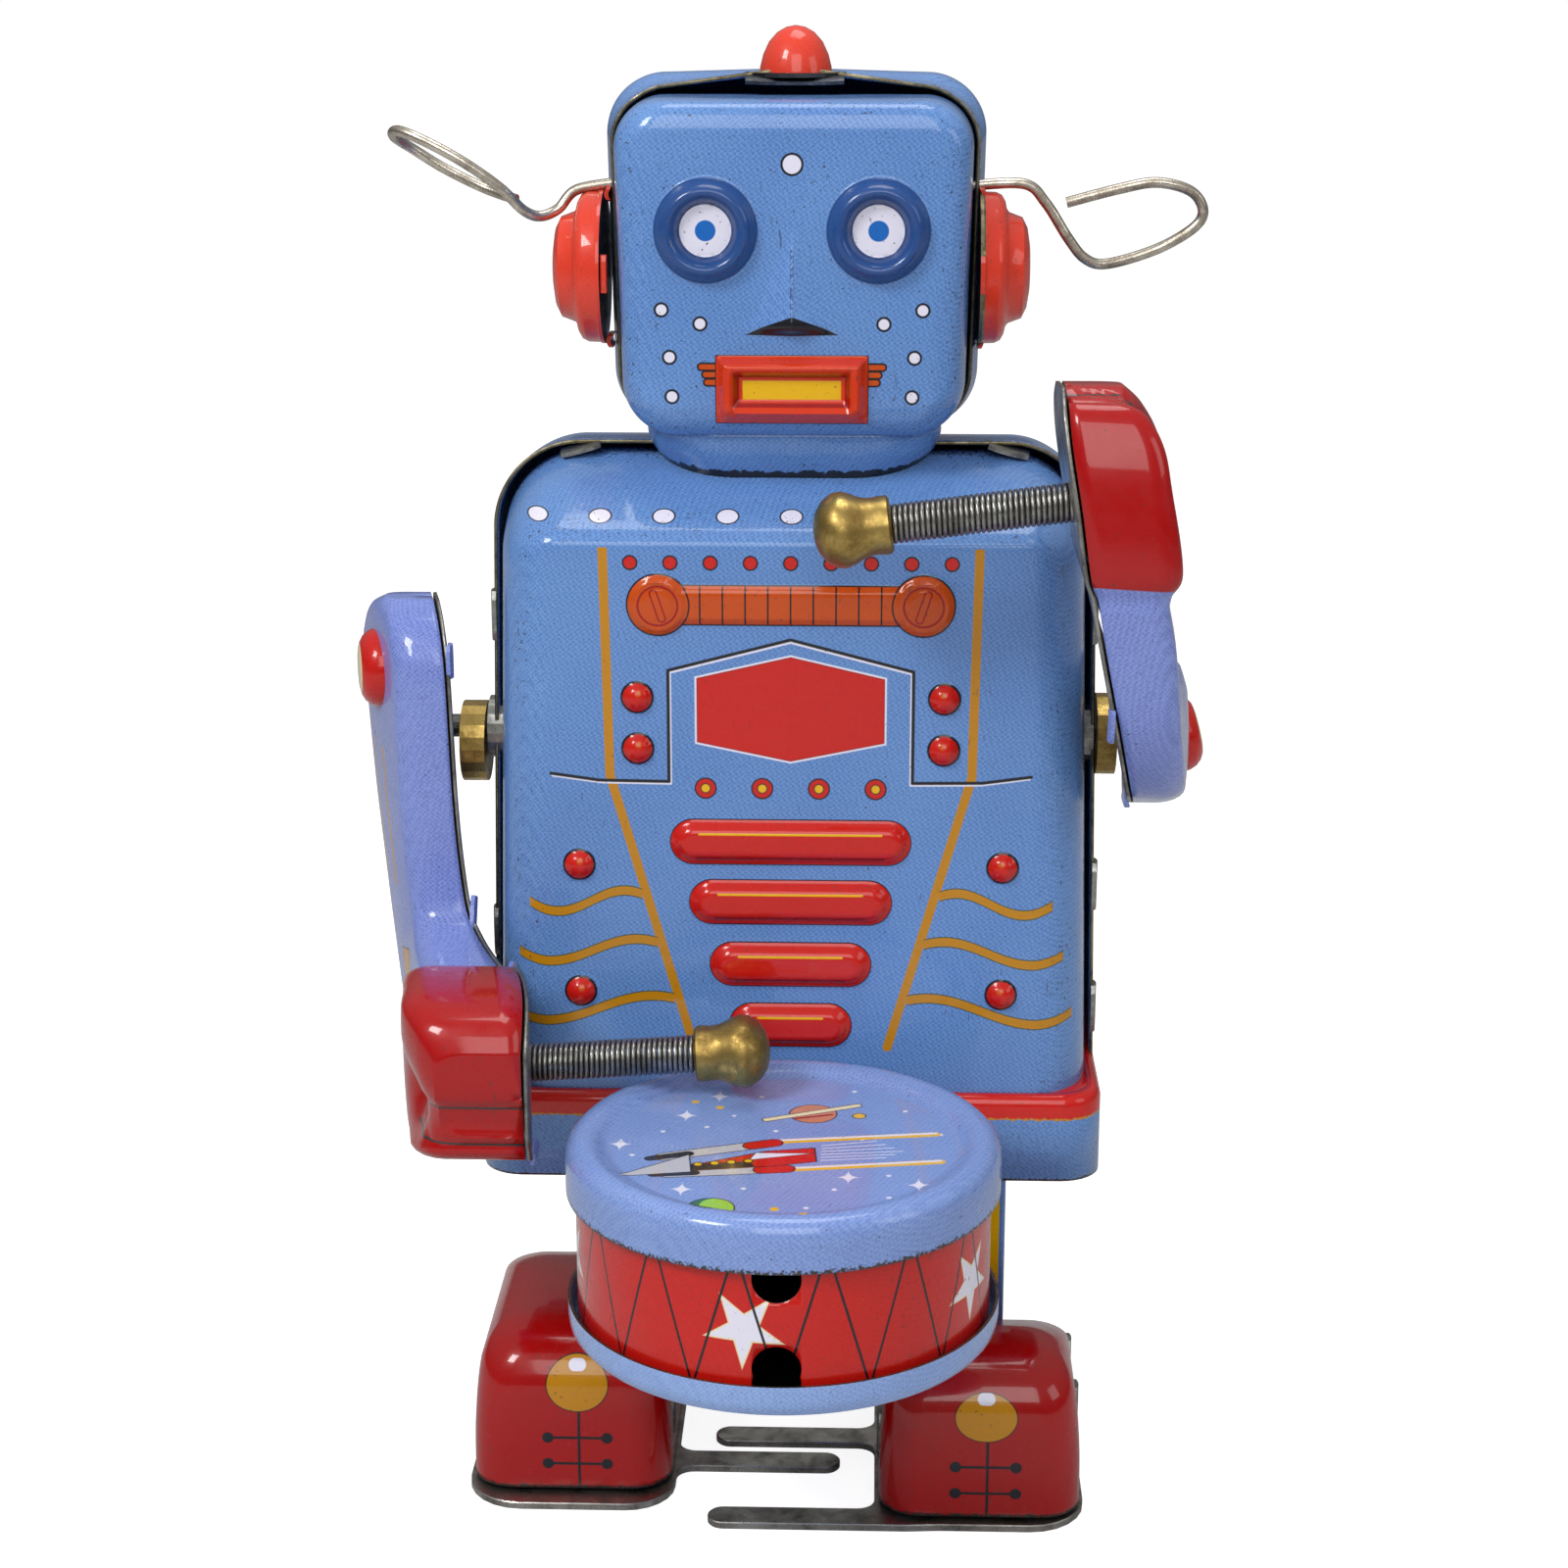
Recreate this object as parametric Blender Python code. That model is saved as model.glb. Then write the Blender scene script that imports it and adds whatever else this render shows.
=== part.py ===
"""Tin wind-up drummer robot: pressed shells, drum, jointed arms and legs, and clockwork.

The robot faces -Y and stands on z = 0. Lengths below are millimetres; MM turns them into metres.
Local frame: x = 0 is the robot's middle, y = 0 is the flat front of the body. The root empty
moves this frame so that the object's origin is the middle of its footprint.
"""

import math

import bmesh
import bpy
from mathutils import Matrix, Vector

MM = 0.001

# Driving dimensions (mm)
FRAME_SHIFT = (0.9, -1.4)       # root empty: middle of the overall box to the world origin
TIN = 0.5                       # sheet thickness
GAP = 0.3                       # clearance between pieces that touch
BODY_FRONT_Y = 0.0
BODY_SEAM_Y = 16.5
BODY_REAR_Y = 38.0
BODY_LAP = 2.0                  # how far the rear shell laps over the front shell
BODY_FLOOR_Z = 51.6
HEAD_FRONT_Y = 4.0
HEAD_SEAM_Y = 19.0
HEAD_REAR_Y = 36.0
HEAD_LOW_Z = 131.3
EAR_X = 23.3
EAR_Z = 150.3
AXIS_Y = 18.0                   # arm and hip axes share this distance behind the front
ARM_AXIS_Z = 93.0
HIP_Z = 46.5
ARM_LIFT = math.radians(94.0)   # angle between the lowered and the raised arm
ARM_PLAY = 1.8                  # the right arm sits this much closer to the body
DRUM_Y = -27.2
DRUM_LOW_Z = 33.8
DRUM_TOP_Z = 57.0
DRUM_CAP_R = 24.9
DRUM_WALL_R = 24.0
SHOE_X = 26.2
SHOE_LEAD = 2.25                # each foot's offset from the middle of its stride
SHOE_FRONT_Y = -14.25
SHOE_LENGTH = 43.0
KEY_Z = 74.0
MOTOR_FRONT_Y = 8.0
MOTOR_REAR_Y = 28.0
MOTOR_PLATE = 0.8
GREAT_TEETH = 40
PINION_TEETH = 10
FIRST_MODULE = 0.6
SECOND_TEETH = 36
ESCAPE_PINION_TEETH = 8
SECOND_MODULE = 0.5
SPRING_TURNS = 7


# ---------------------------------------------------------------- materials

def material(name, colour, roughness, metallic):
    """One Principled finish, made once and shared by name."""
    finish = bpy.data.materials.get(name)
    if finish is None:
        finish = bpy.data.materials.new(name)
        finish.use_nodes = True
        shader = finish.node_tree.nodes["Principled BSDF"]
        shader.inputs["Base Color"].default_value = (*colour, 1.0)
        shader.inputs["Roughness"].default_value = roughness
        shader.inputs["Metallic"].default_value = metallic
    return finish


def finishes():
    """The object's finishes by short name."""
    table = {
        "blue": ((0.105, 0.232, 0.578), 0.28, 0.0),
        "red": ((0.552, 0.018, 0.012), 0.25, 0.0),
        "coral": ((0.68, 0.055, 0.03), 0.3, 0.0),
        "steel": ((0.29, 0.30, 0.29), 0.45, 1.0),
        "wire": ((0.46, 0.44, 0.40), 0.3, 1.0),
        "brass": ((0.50, 0.33, 0.10), 0.3, 1.0),
        "dark_steel": ((0.10, 0.10, 0.11), 0.45, 1.0),
    }
    return {key: material(key, *values) for key, values in table.items()}


# ---------------------------------------------------------------- mesh tools

def add_loop(mesh, points):
    return [mesh.verts.new(Vector(point) * MM) for point in points]


def bridge(mesh, first, second):
    count = len(first)
    for index in range(count):
        after = (index + 1) % count
        mesh.faces.new((first[index], first[after], second[after], second[index]))


def loft(loops, closed=False):
    """Skin a list of point loops; capped at both ends, or closed into a ring."""
    mesh = bmesh.new()
    rings = [add_loop(mesh, loop) for loop in loops]
    for first, second in zip(rings, rings[1:]):
        bridge(mesh, first, second)
    if closed:
        bridge(mesh, rings[-1], rings[0])
    else:
        mesh.faces.new(tuple(reversed(rings[0])))
        mesh.faces.new(tuple(rings[-1]))
    bmesh.ops.recalc_face_normals(mesh, faces=mesh.faces)
    return mesh


def turned(profile, segments, closed=False):
    """Turn (radius, height) pairs about Z. A radius of 0 at an end makes a pole."""
    mesh = bmesh.new()
    rings = []
    for radius, height in profile:
        if radius == 0.0:
            rings.append(add_loop(mesh, [(0.0, 0.0, height)]))
            continue
        angles = [2.0 * math.pi * step / segments for step in range(segments)]
        rings.append(add_loop(mesh, [(radius * math.cos(a), radius * math.sin(a), height) for a in angles]))
    pairs = list(zip(rings, rings[1:]))
    if closed:
        pairs.append((rings[-1], rings[0]))
    for first, second in pairs:
        join_rings(mesh, first, second)
    for ring, flip in ((rings[0], True), (rings[-1], False)):
        if not closed and len(ring) > 1:
            mesh.faces.new(tuple(reversed(ring)) if flip else tuple(ring))
    bmesh.ops.recalc_face_normals(mesh, faces=mesh.faces)
    return mesh


def join_rings(mesh, first, second):
    if len(first) == len(second):
        bridge(mesh, first, second)
        return
    pole, ring = (first[0], second) if len(first) == 1 else (second[0], first)
    for index, vert in enumerate(ring):
        mesh.faces.new((pole, vert, ring[(index + 1) % len(ring)]))


def sweep(points, radius, sides):
    """A round wire along a list of points, closed at both ends."""
    path = [Vector(point) for point in points]
    loops = []
    normal = (path[1] - path[0]).orthogonal().normalized()
    for index, point in enumerate(path):
        ahead = path[min(index + 1, len(path) - 1)]
        behind = path[max(index - 1, 0)]
        tangent = (ahead - behind).normalized()
        normal = (normal - tangent * normal.dot(tangent)).normalized()
        across = tangent.cross(normal)
        loops.append([
            point + radius * (math.cos(turn) * normal + math.sin(turn) * across)
            for turn in (2.0 * math.pi * step / sides for step in range(sides))
        ])
    return loft(loops)


def box(low, high):
    (x0, y0, z0), (x1, y1, z1) = low, high
    return loft([
        [(x0, y0, z0), (x1, y0, z0), (x1, y1, z0), (x0, y1, z0)],
        [(x0, y0, z1), (x1, y0, z1), (x1, y1, z1), (x0, y1, z1)],
    ])


def moved(mesh, matrix):
    bmesh.ops.transform(mesh, matrix=matrix, verts=mesh.verts)
    return mesh


def placed(mesh, x=0.0, y=0.0, z=0.0, turn=0.0, axis="X"):
    """Turn a mesh about the origin, then shift it by millimetres."""
    rotation = Matrix.Rotation(turn, 4, axis)
    return moved(mesh, Matrix.Translation(Vector((x, y, z)) * MM) @ rotation)


def mirrored(mesh):
    moved(mesh, Matrix.Scale(-1.0, 4, (1, 0, 0)))
    bmesh.ops.reverse_faces(mesh, faces=mesh.faces)
    return mesh


def smooth_path(points, steps):
    """Catmull-Rom curve through the given points."""
    ends = [points[0]] + list(points) + [points[-1]]
    result = []
    for index in range(1, len(ends) - 2):
        p0, p1, p2, p3 = (Vector(ends[index + shift]) for shift in (-1, 0, 1, 2))
        for step in range(steps):
            t = step / steps
            result.append(0.5 * ((2 * p1) + (p2 - p0) * t + (2 * p0 - 5 * p1 + 4 * p2 - p3) * t ** 2
                                 + (3 * p1 - p0 - 3 * p2 + p3) * t ** 3))
    result.append(Vector(points[-1]))
    return result


def rounded_outline(half_top, half_low, low, high, top_radius, low_radius, steps=4):
    """Points of a panel with rounded corners, wider or narrower at the top; (x, z) pairs."""
    corners = (
        (half_low - low_radius, low + low_radius, low_radius, -90.0),
        (half_top - top_radius, high - top_radius, top_radius, 0.0),
        (-half_top + top_radius, high - top_radius, top_radius, 90.0),
        (-half_low + low_radius, low + low_radius, low_radius, 180.0),
    )
    points = []
    for x, z, radius, start in corners:
        for step in range(steps + 1):
            angle = math.radians(start + 90.0 * step / steps)
            points.append((x + radius * math.cos(angle), z + radius * math.sin(angle)))
    return points


def oval(half_width, front, rear, z, power=2.6, count=28):
    """A rounded oval loop in a level plane."""
    middle = 0.5 * (front + rear)
    half_depth = 0.5 * (rear - front)
    points = []
    for step in range(count):
        angle = 2.0 * math.pi * step / count
        cosine, sine = math.cos(angle), math.sin(angle)
        x = half_width * math.copysign(abs(cosine) ** (2.0 / power), cosine)
        y = half_depth * math.copysign(abs(sine) ** (2.0 / power), sine)
        points.append((x, middle + y, z))
    return points


# ---------------------------------------------------------------- object tools

class Builder:
    """Places finished meshes in the scene as named objects under their joint's empty."""

    def __init__(self):
        self.finish = finishes()
        self.root = self.pivot("robot_root", None, (FRAME_SHIFT[0], FRAME_SHIFT[1], 0.0))

    def pivot(self, name, parent, place):
        empty = bpy.data.objects.new(name, None)
        empty.location = Vector(place) * MM
        empty.parent = parent
        bpy.context.collection.objects.link(empty)
        return empty

    def part(self, name, mesh, finish, pivot=None, pivot_place=(0.0, 0.0, 0.0), sharp=35.0):
        """Link a mesh, given in the local frame, under a pivot that stands at pivot_place."""
        moved(mesh, Matrix.Translation(-Vector(pivot_place) * MM))
        data = bpy.data.meshes.new(name)
        mesh.to_mesh(data)
        mesh.free()
        data.shade_smooth()
        data.set_sharp_from_angle(angle=math.radians(sharp))
        data.materials.append(self.finish[finish])
        thing = bpy.data.objects.new(name, data)
        thing.parent = pivot or self.root
        bpy.context.collection.objects.link(thing)
        return thing

    def tool(self, target, mesh, operation, pivot_place=(0.0, 0.0, 0.0)):
        """Cut a shape out of a part, or join one to it, by an exact Boolean."""
        count = len(target.modifiers)
        helper = self.part(f"{target.name}_{operation.lower()}_{count}", mesh, "steel",
                           target.parent, pivot_place)
        helper.hide_render = True
        helper.display_type = "WIRE"
        modifier = target.modifiers.new(f"{operation.title()} {count}", "BOOLEAN")
        modifier.operation = operation
        modifier.object = helper
        modifier.solver = "EXACT"
        helper.hide_set(True)


def pan(build, name, finish, sections, neck=False):
    """A pressed pan: (y, half_top, half_low, low, high, top_radius, low_radius) from cap to rim."""
    outer, inner = [], []
    toward_rim = 1.0 if sections[-1][0] > sections[0][0] else -1.0
    for y, half_top, half_low, low, high, top_radius, low_radius in sections:
        line = rounded_outline(half_top, half_low, low, high, top_radius, low_radius)
        outer.append([(x, y, z) for x, z in line])
        line = rounded_outline(half_top - TIN, half_low - TIN, low + TIN, high - TIN,
                               max(top_radius - TIN, 0.4), max(low_radius - TIN, 0.4))
        inner.append([(x, y + TIN * toward_rim, z) for x, z in line])
    rim_y = sections[-1][0]
    inner[-1] = [(x, rim_y, z) for x, y, z in inner[-1]]
    return build.part(name, loft(outer + inner[::-1]), finish)


# ---------------------------------------------------------------- body and head

def body_shells(build):
    front = pan(build, "body_front_shell", "blue", [
        (BODY_FRONT_Y, 29.0, 30.2, 50.0, 119.8, 2.5, 1.0),
        (1.0, 31.6, 33.0, 49.8, 121.2, 4.0, 1.0),
        (4.0, 34.0, 35.6, 49.7, 123.2, 7.0, 1.0),
        (9.0, 35.1, 36.8, 49.6, 126.0, 9.0, 1.0),
        (BODY_SEAM_Y, 35.4, 37.1, 49.6, 128.6, 10.0, 1.0),
    ])
    rear = pan(build, "body_rear_shell", "blue", [
        (BODY_REAR_Y, 29.0, 30.6, 49.8, 121.0, 4.0, 1.0),
        (BODY_REAR_Y - 1.5, 33.2, 34.8, 49.6, 124.2, 6.5, 1.0),
        (BODY_REAR_Y - 6.0, 35.9, 37.6, 49.0, 127.8, 9.5, 1.4),
        (BODY_SEAM_Y - BODY_LAP, 36.2, 37.9, 48.8, 129.4, 10.8, 1.8),
    ])
    for shell in (front, rear):
        build.tool(shell, box((-60, -5, 30), (60, 60, BODY_FLOOR_Z)), "DIFFERENCE")
        build.tool(shell, loft([oval(17.6, 9.0, 31.6, 124.0), oval(17.6, 9.0, 31.6, 140.0)]), "DIFFERENCE")
        bores = placed(turned([(4.3, -60.0), (4.3, 60.0)], 20), 0.0, AXIS_Y, ARM_AXIS_Z,
                       math.pi / 2.0, "Y")
        build.tool(shell, bores, "DIFFERENCE")
    key_hole = placed(turned([(2.8, -4.0), (2.8, 4.0)], 20), 0.0, BODY_REAR_Y, KEY_Z, math.pi / 2.0)
    build.tool(rear, key_hole, "DIFFERENCE")


def base_pan(build):
    """The skirt under the body, with a slot for each leg."""
    def level(inset, z):
        line = rounded_outline(38.4 - inset, 38.4 - inset, -1.3 + inset, 39.6 - inset, 6.0, 6.0)
        return [(x, y, z) for x, y in line]

    outer = [level(1.8, 40.3), level(0.5, 40.8), level(0.0, 42.0), level(0.0, 50.4),
             level(0.4, 51.1), level(1.2, 51.3), level(4.5, 51.3)]
    inner = [level(2.0, 40.8), level(0.9, 41.2), level(0.5, 42.1), level(0.5, 50.2),
             level(0.8, 50.7), level(1.4, 50.8), level(4.5, 50.8)]
    skirt = build.part("base_skirt", loft(outer + inner[::-1]), "blue")
    for side in (-1.0, 1.0):
        x0, x1 = sorted((side * 13.6, side * 29.2))
        build.tool(skirt, box((x0, 4.5, 39.0), (x1, 32.0, 42.0)), "DIFFERENCE")


def head(build):
    pan(build, "head_front_shell", "blue", [
        (HEAD_FRONT_Y, 17.6, 16.8, 135.4, 167.4, 4.0, 4.0),
        (HEAD_FRONT_Y + 0.8, 19.9, 19.1, 133.2, 169.6, 5.2, 5.2),
        (HEAD_FRONT_Y + 3.0, 21.4, 20.6, 131.7, 171.0, 6.2, 6.2),
        (HEAD_FRONT_Y + 8.0, 21.9, 21.2, HEAD_LOW_Z, 171.4, 6.5, 6.5),
        (HEAD_SEAM_Y, 22.1, 21.5, HEAD_LOW_Z, 171.5, 6.5, 6.5),
    ])
    pan(build, "head_rear_shell", "blue", [
        (HEAD_REAR_Y, 18.0, 17.4, 135.4, 167.8, 4.0, 4.0),
        (HEAD_REAR_Y - 1.0, 20.6, 20.0, 133.0, 170.0, 5.4, 5.4),
        (HEAD_REAR_Y - 4.0, 22.4, 21.8, 131.0, 171.8, 6.8, 6.8),
        (HEAD_SEAM_Y - 2.0, 22.9, 22.3, HEAD_LOW_Z - 0.8, 172.3, 7.3, 7.3),
    ])
    collar = [oval(19.6, 6.8, 33.6, 130.2), oval(19.6, 6.8, 33.6, 129.8),
              oval(17.3, 9.3, 31.3, 129.7), oval(17.3, 9.3, 31.3, 126.6)]
    bore = [oval(17.3 - TIN, 9.3 + TIN, 31.3 - TIN, 126.6),
            oval(17.3 - TIN, 9.3 + TIN, 31.3 - TIN, 130.2)]
    build.part("neck_collar", loft(collar + bore, closed=True), "blue")


def lamp(build):
    """The dome lamp and the steel clip that it stands on, over the head's seam."""
    clip = turned([(0.0, 172.6), (6.0, 172.6), (6.0, 173.1), (0.0, 173.1)], 20)
    build.part("lamp_clip", placed(clip, 0.0, 20.0), "dark_steel")
    dome = [(0.0, 173.4), (4.3, 173.4), (4.3, 174.0), (4.15, 175.3), (3.6, 176.6), (2.5, 177.7),
            (1.2, 178.3), (0.0, 178.4)]
    build.part("lamp_dome", placed(turned(dome, 20), 0.0, 20.0), "coral")


def ears_and_aerials(build):
    """Turned ear caps and bent wire aerials, one pair."""
    profile = [(9.0, 0.0), (9.0, 0.6), (8.2, 1.0), (8.0, 2.4), (7.2, 3.4), (6.0, 3.7), (5.4, 4.6),
               (3.4, 5.0), (0.0, 5.1)]
    inner = [(0.0, 4.6), (3.2, 4.5), (4.9, 4.1), (5.6, 3.2), (6.8, 2.9), (7.5, 2.1), (7.7, 0.6), (8.0, 0.0)]
    right_wire = [(23.3, 18, 160.4), (27.3, 18, 160.2), (29.9, 18, 158.0), (32.7, 18, 153.8),
                  (34.8, 18, 151.4), (37.5, 18.3, 150.8), (43.3, 18.6, 152.5), (47.6, 18.6, 155.0),
                  (48.7, 18.5, 157.1), (47.1, 18.2, 159.4), (43.0, 18, 160.4), (38.4, 18, 159.6),
                  (32.4, 18.2, 158.0)]
    left_wire = [(-23.3, 18, 160.4), (-26.2, 18, 159.4), (-28.4, 17.4, 157.2), (-30.5, 16.4, 156.4),
                 (-32.4, 15.4, 157.2), (-34.9, 14.4, 159.8), (-38.9, 13.8, 162.7), (-43.5, 13.8, 165.2),
                 (-47.0, 15.4, 166.4), (-48.0, 18.2, 165.6), (-45.9, 20.8, 163.8), (-42.5, 21.6, 161.6),
                 (-37.8, 21.0, 159.4), (-33.6, 18.6, 158.2)]
    for side, name, wire in ((-1.0, "left", left_wire), (1.0, "right", right_wire)):
        cup = turned(inner + profile, 20)
        build.part(f"ear_cap_{name}", placed(cup, side * EAR_X, AXIS_Y, EAR_Z, side * math.pi / 2.0, "Y"),
                   "coral")
        build.part(f"aerial_{name}", sweep(smooth_path(wire, 2), 0.65, 6), "wire")


# ---------------------------------------------------------------- drum

def drum(build):
    cap_low = DRUM_TOP_Z - 6.0
    wall = 0.6
    top_cap = [(DRUM_CAP_R, cap_low), (DRUM_CAP_R, DRUM_TOP_Z - 1.0), (DRUM_CAP_R - 0.6, DRUM_TOP_Z - 0.2),
               (DRUM_CAP_R - 1.4, DRUM_TOP_Z), (DRUM_CAP_R - 2.4, DRUM_TOP_Z - 0.6), (0.0, DRUM_TOP_Z - 0.6),
               (0.0, DRUM_TOP_Z - 0.6 - wall), (DRUM_CAP_R - 2.4, DRUM_TOP_Z - 0.6 - wall),
               (DRUM_CAP_R - 1.4, DRUM_TOP_Z - wall), (DRUM_CAP_R - wall, DRUM_TOP_Z - 1.2),
               (DRUM_CAP_R - wall, cap_low)]
    low_top = DRUM_LOW_Z + 4.0
    low_cap = [(DRUM_CAP_R, low_top), (DRUM_CAP_R, DRUM_LOW_Z + 1.0), (DRUM_CAP_R - 0.8, DRUM_LOW_Z),
               (DRUM_CAP_R - 2.4, DRUM_LOW_Z), (0.0, DRUM_LOW_Z), (0.0, DRUM_LOW_Z + wall),
               (DRUM_CAP_R - 2.4, DRUM_LOW_Z + wall), (DRUM_CAP_R - wall, DRUM_LOW_Z + 1.2),
               (DRUM_CAP_R - wall, low_top)]
    shell_low, shell_high = DRUM_LOW_Z + 1.6, DRUM_TOP_Z - 1.8
    shell = [(DRUM_WALL_R, shell_low), (DRUM_WALL_R, shell_high), (DRUM_WALL_R - TIN, shell_high),
             (DRUM_WALL_R - TIN, shell_low)]
    build.part("drum_top_cap", placed(drum_cap(top_cap, 5), 0.0, DRUM_Y), "blue")
    build.part("drum_bottom_cap", placed(drum_cap(low_cap, 4), 0.0, DRUM_Y), "blue")
    body = build.part("drum_wall", placed(turned(shell, 36, closed=True), 0.0, DRUM_Y), "red")
    for z in (50.8, DRUM_LOW_Z + 4.2):
        hole = placed(turned([(2.6, -3.0), (2.6, 3.0)], 12), 0.0, DRUM_Y - DRUM_WALL_R, z, math.pi / 2.0)
        build.tool(body, hole, "DIFFERENCE")
    bracket = box((-7.0, -2.0, 42.6), (7.0, -1.6, 50.6))
    build.part("drum_bracket", bracket, "steel")


def drum_cap(profile, split):
    """Close the two runs of a cap's profile, which both end on the axis, into one turned piece."""
    outer, inner = profile[:split + 1], profile[split + 1:]
    return turned_pan(outer, inner)


def turned_pan(outer, inner):
    """Turn a pan: an outer run that ends on the axis and an inner run that starts there."""
    mesh = bmesh.new()
    segments = 36
    angles = [2.0 * math.pi * step / segments for step in range(segments)]

    def ring(radius, height):
        if radius == 0.0:
            return add_loop(mesh, [(0.0, 0.0, height)])
        return add_loop(mesh, [(radius * math.cos(a), radius * math.sin(a), height) for a in angles])

    out_rings = [ring(*point) for point in outer]
    in_rings = [ring(*point) for point in inner]
    for rings in (out_rings, in_rings):
        for first, second in zip(rings, rings[1:]):
            join_rings(mesh, first, second)
    bridge(mesh, out_rings[0], in_rings[-1])
    bmesh.ops.recalc_face_normals(mesh, faces=mesh.faces)
    return mesh


# ---------------------------------------------------------------- arms

# Stations along the lowered arm, from shoulder to knuckles, in its own plane through the axis:
# (forward, up, direction in degrees, half width, inner |x|, outer |x|)
ARM_STATIONS = (
    (-1.0, 16.4, -90.0, 2.6, 43.2, 51.0),
    (-1.0, 14.6, -90.0, 5.8, 43.1, 52.6),
    (-1.0, 11.6, -90.0, 8.3, 43.0, 53.2),
    (-1.0, 7.1, -90.0, 9.5, 43.0, 53.4),
    (0.6, -8.0, -88.0, 8.0, 42.6, 52.8),
    (2.2, -18.0, -82.0, 7.2, 42.0, 52.2),
    (4.6, -25.6, -58.0, 7.3, 41.2, 51.4),
    (10.6, -30.4, -25.0, 7.6, 39.6, 50.2),
    (21.0, -32.6, -10.0, 8.4, 35.2, 47.4),
    (24.6, -32.6, -4.0, 9.9, 32.2, 46.4),
    (34.0, -32.4, 0.0, 10.2, 31.2, 45.0),
    (41.0, -32.2, 0.0, 9.6, 31.0, 44.4),
    (44.0, -32.2, 0.0, 7.8, 31.6, 43.2),
    (45.2, -32.2, 0.0, 5.4, 32.6, 42.0),
)
HAND_STICK = (31.0, -33.4)


def arm_section(station, inset, inner_shift, play, corner):
    forward, up, direction, half, inner_x, outer_x = station
    angle = math.radians(direction)
    side = (-math.sin(angle), math.cos(angle))
    near = inner_x - play + inner_shift
    far = outer_x - play - inset
    half = max(half - inset, 0.8)
    corner = min(corner, 0.45 * (far - near), 0.8 * half)
    points = []
    for x, across in (
        (near, -half), (far - corner, -half), (far - 0.3 * corner, -half + 0.3 * corner),
        (far, -half + corner), (far, half - corner), (far - 0.3 * corner, half - 0.3 * corner),
        (far - corner, half), (near, half),
    ):
        points.append((x, -(forward + side[0] * across), up + side[1] * across))
    return points


def arm_solid(inset, inner_shift, play, corner):
    stations = ARM_STATIONS
    if inset > 0.0:
        first, last = ARM_STATIONS[0], ARM_STATIONS[-1]
        stations = ((first[0], first[1] - inset, *first[2:]), *ARM_STATIONS[1:-1],
                    (last[0] - inset, last[1], *last[2:]))
    return loft([arm_section(station, inset, inner_shift, play, corner) for station in stations])


def plate_solid(play):
    """The flat steel cover on the arm's inner side, following the same stations."""
    loops = []
    for forward, up, direction, half, inner_x, _ in ARM_STATIONS:
        angle = math.radians(direction)
        side = (-math.sin(angle), math.cos(angle))
        loops.append([
            (x, -(forward + side[0] * across), up + side[1] * across)
            for x, across in (
                (inner_x - play - GAP - 0.6, -half), (inner_x - play - GAP, -half),
                (inner_x - play - GAP, half), (inner_x - play - GAP - 0.6, half),
            )
        ])
    return loft(loops)


def stick_line(side):
    """Start and direction of the drumstick in the lowered arm's frame, in the +X half."""
    if side < 0:
        return Vector((30.2, -31.0, -33.4)), Vector((2.0, -31.0, -31.3))
    return Vector((28.6, -32.0, -33.3)), Vector((2.9, -28.4, -33.0))


def along(start, end, mesh):
    """Lay a shape turned about Z along the line from start to end (mm)."""
    turn = (end - start).to_track_quat("Z", "Y").to_matrix().to_4x4()
    return moved(mesh, Matrix.Translation(start * MM) @ turn)


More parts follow.
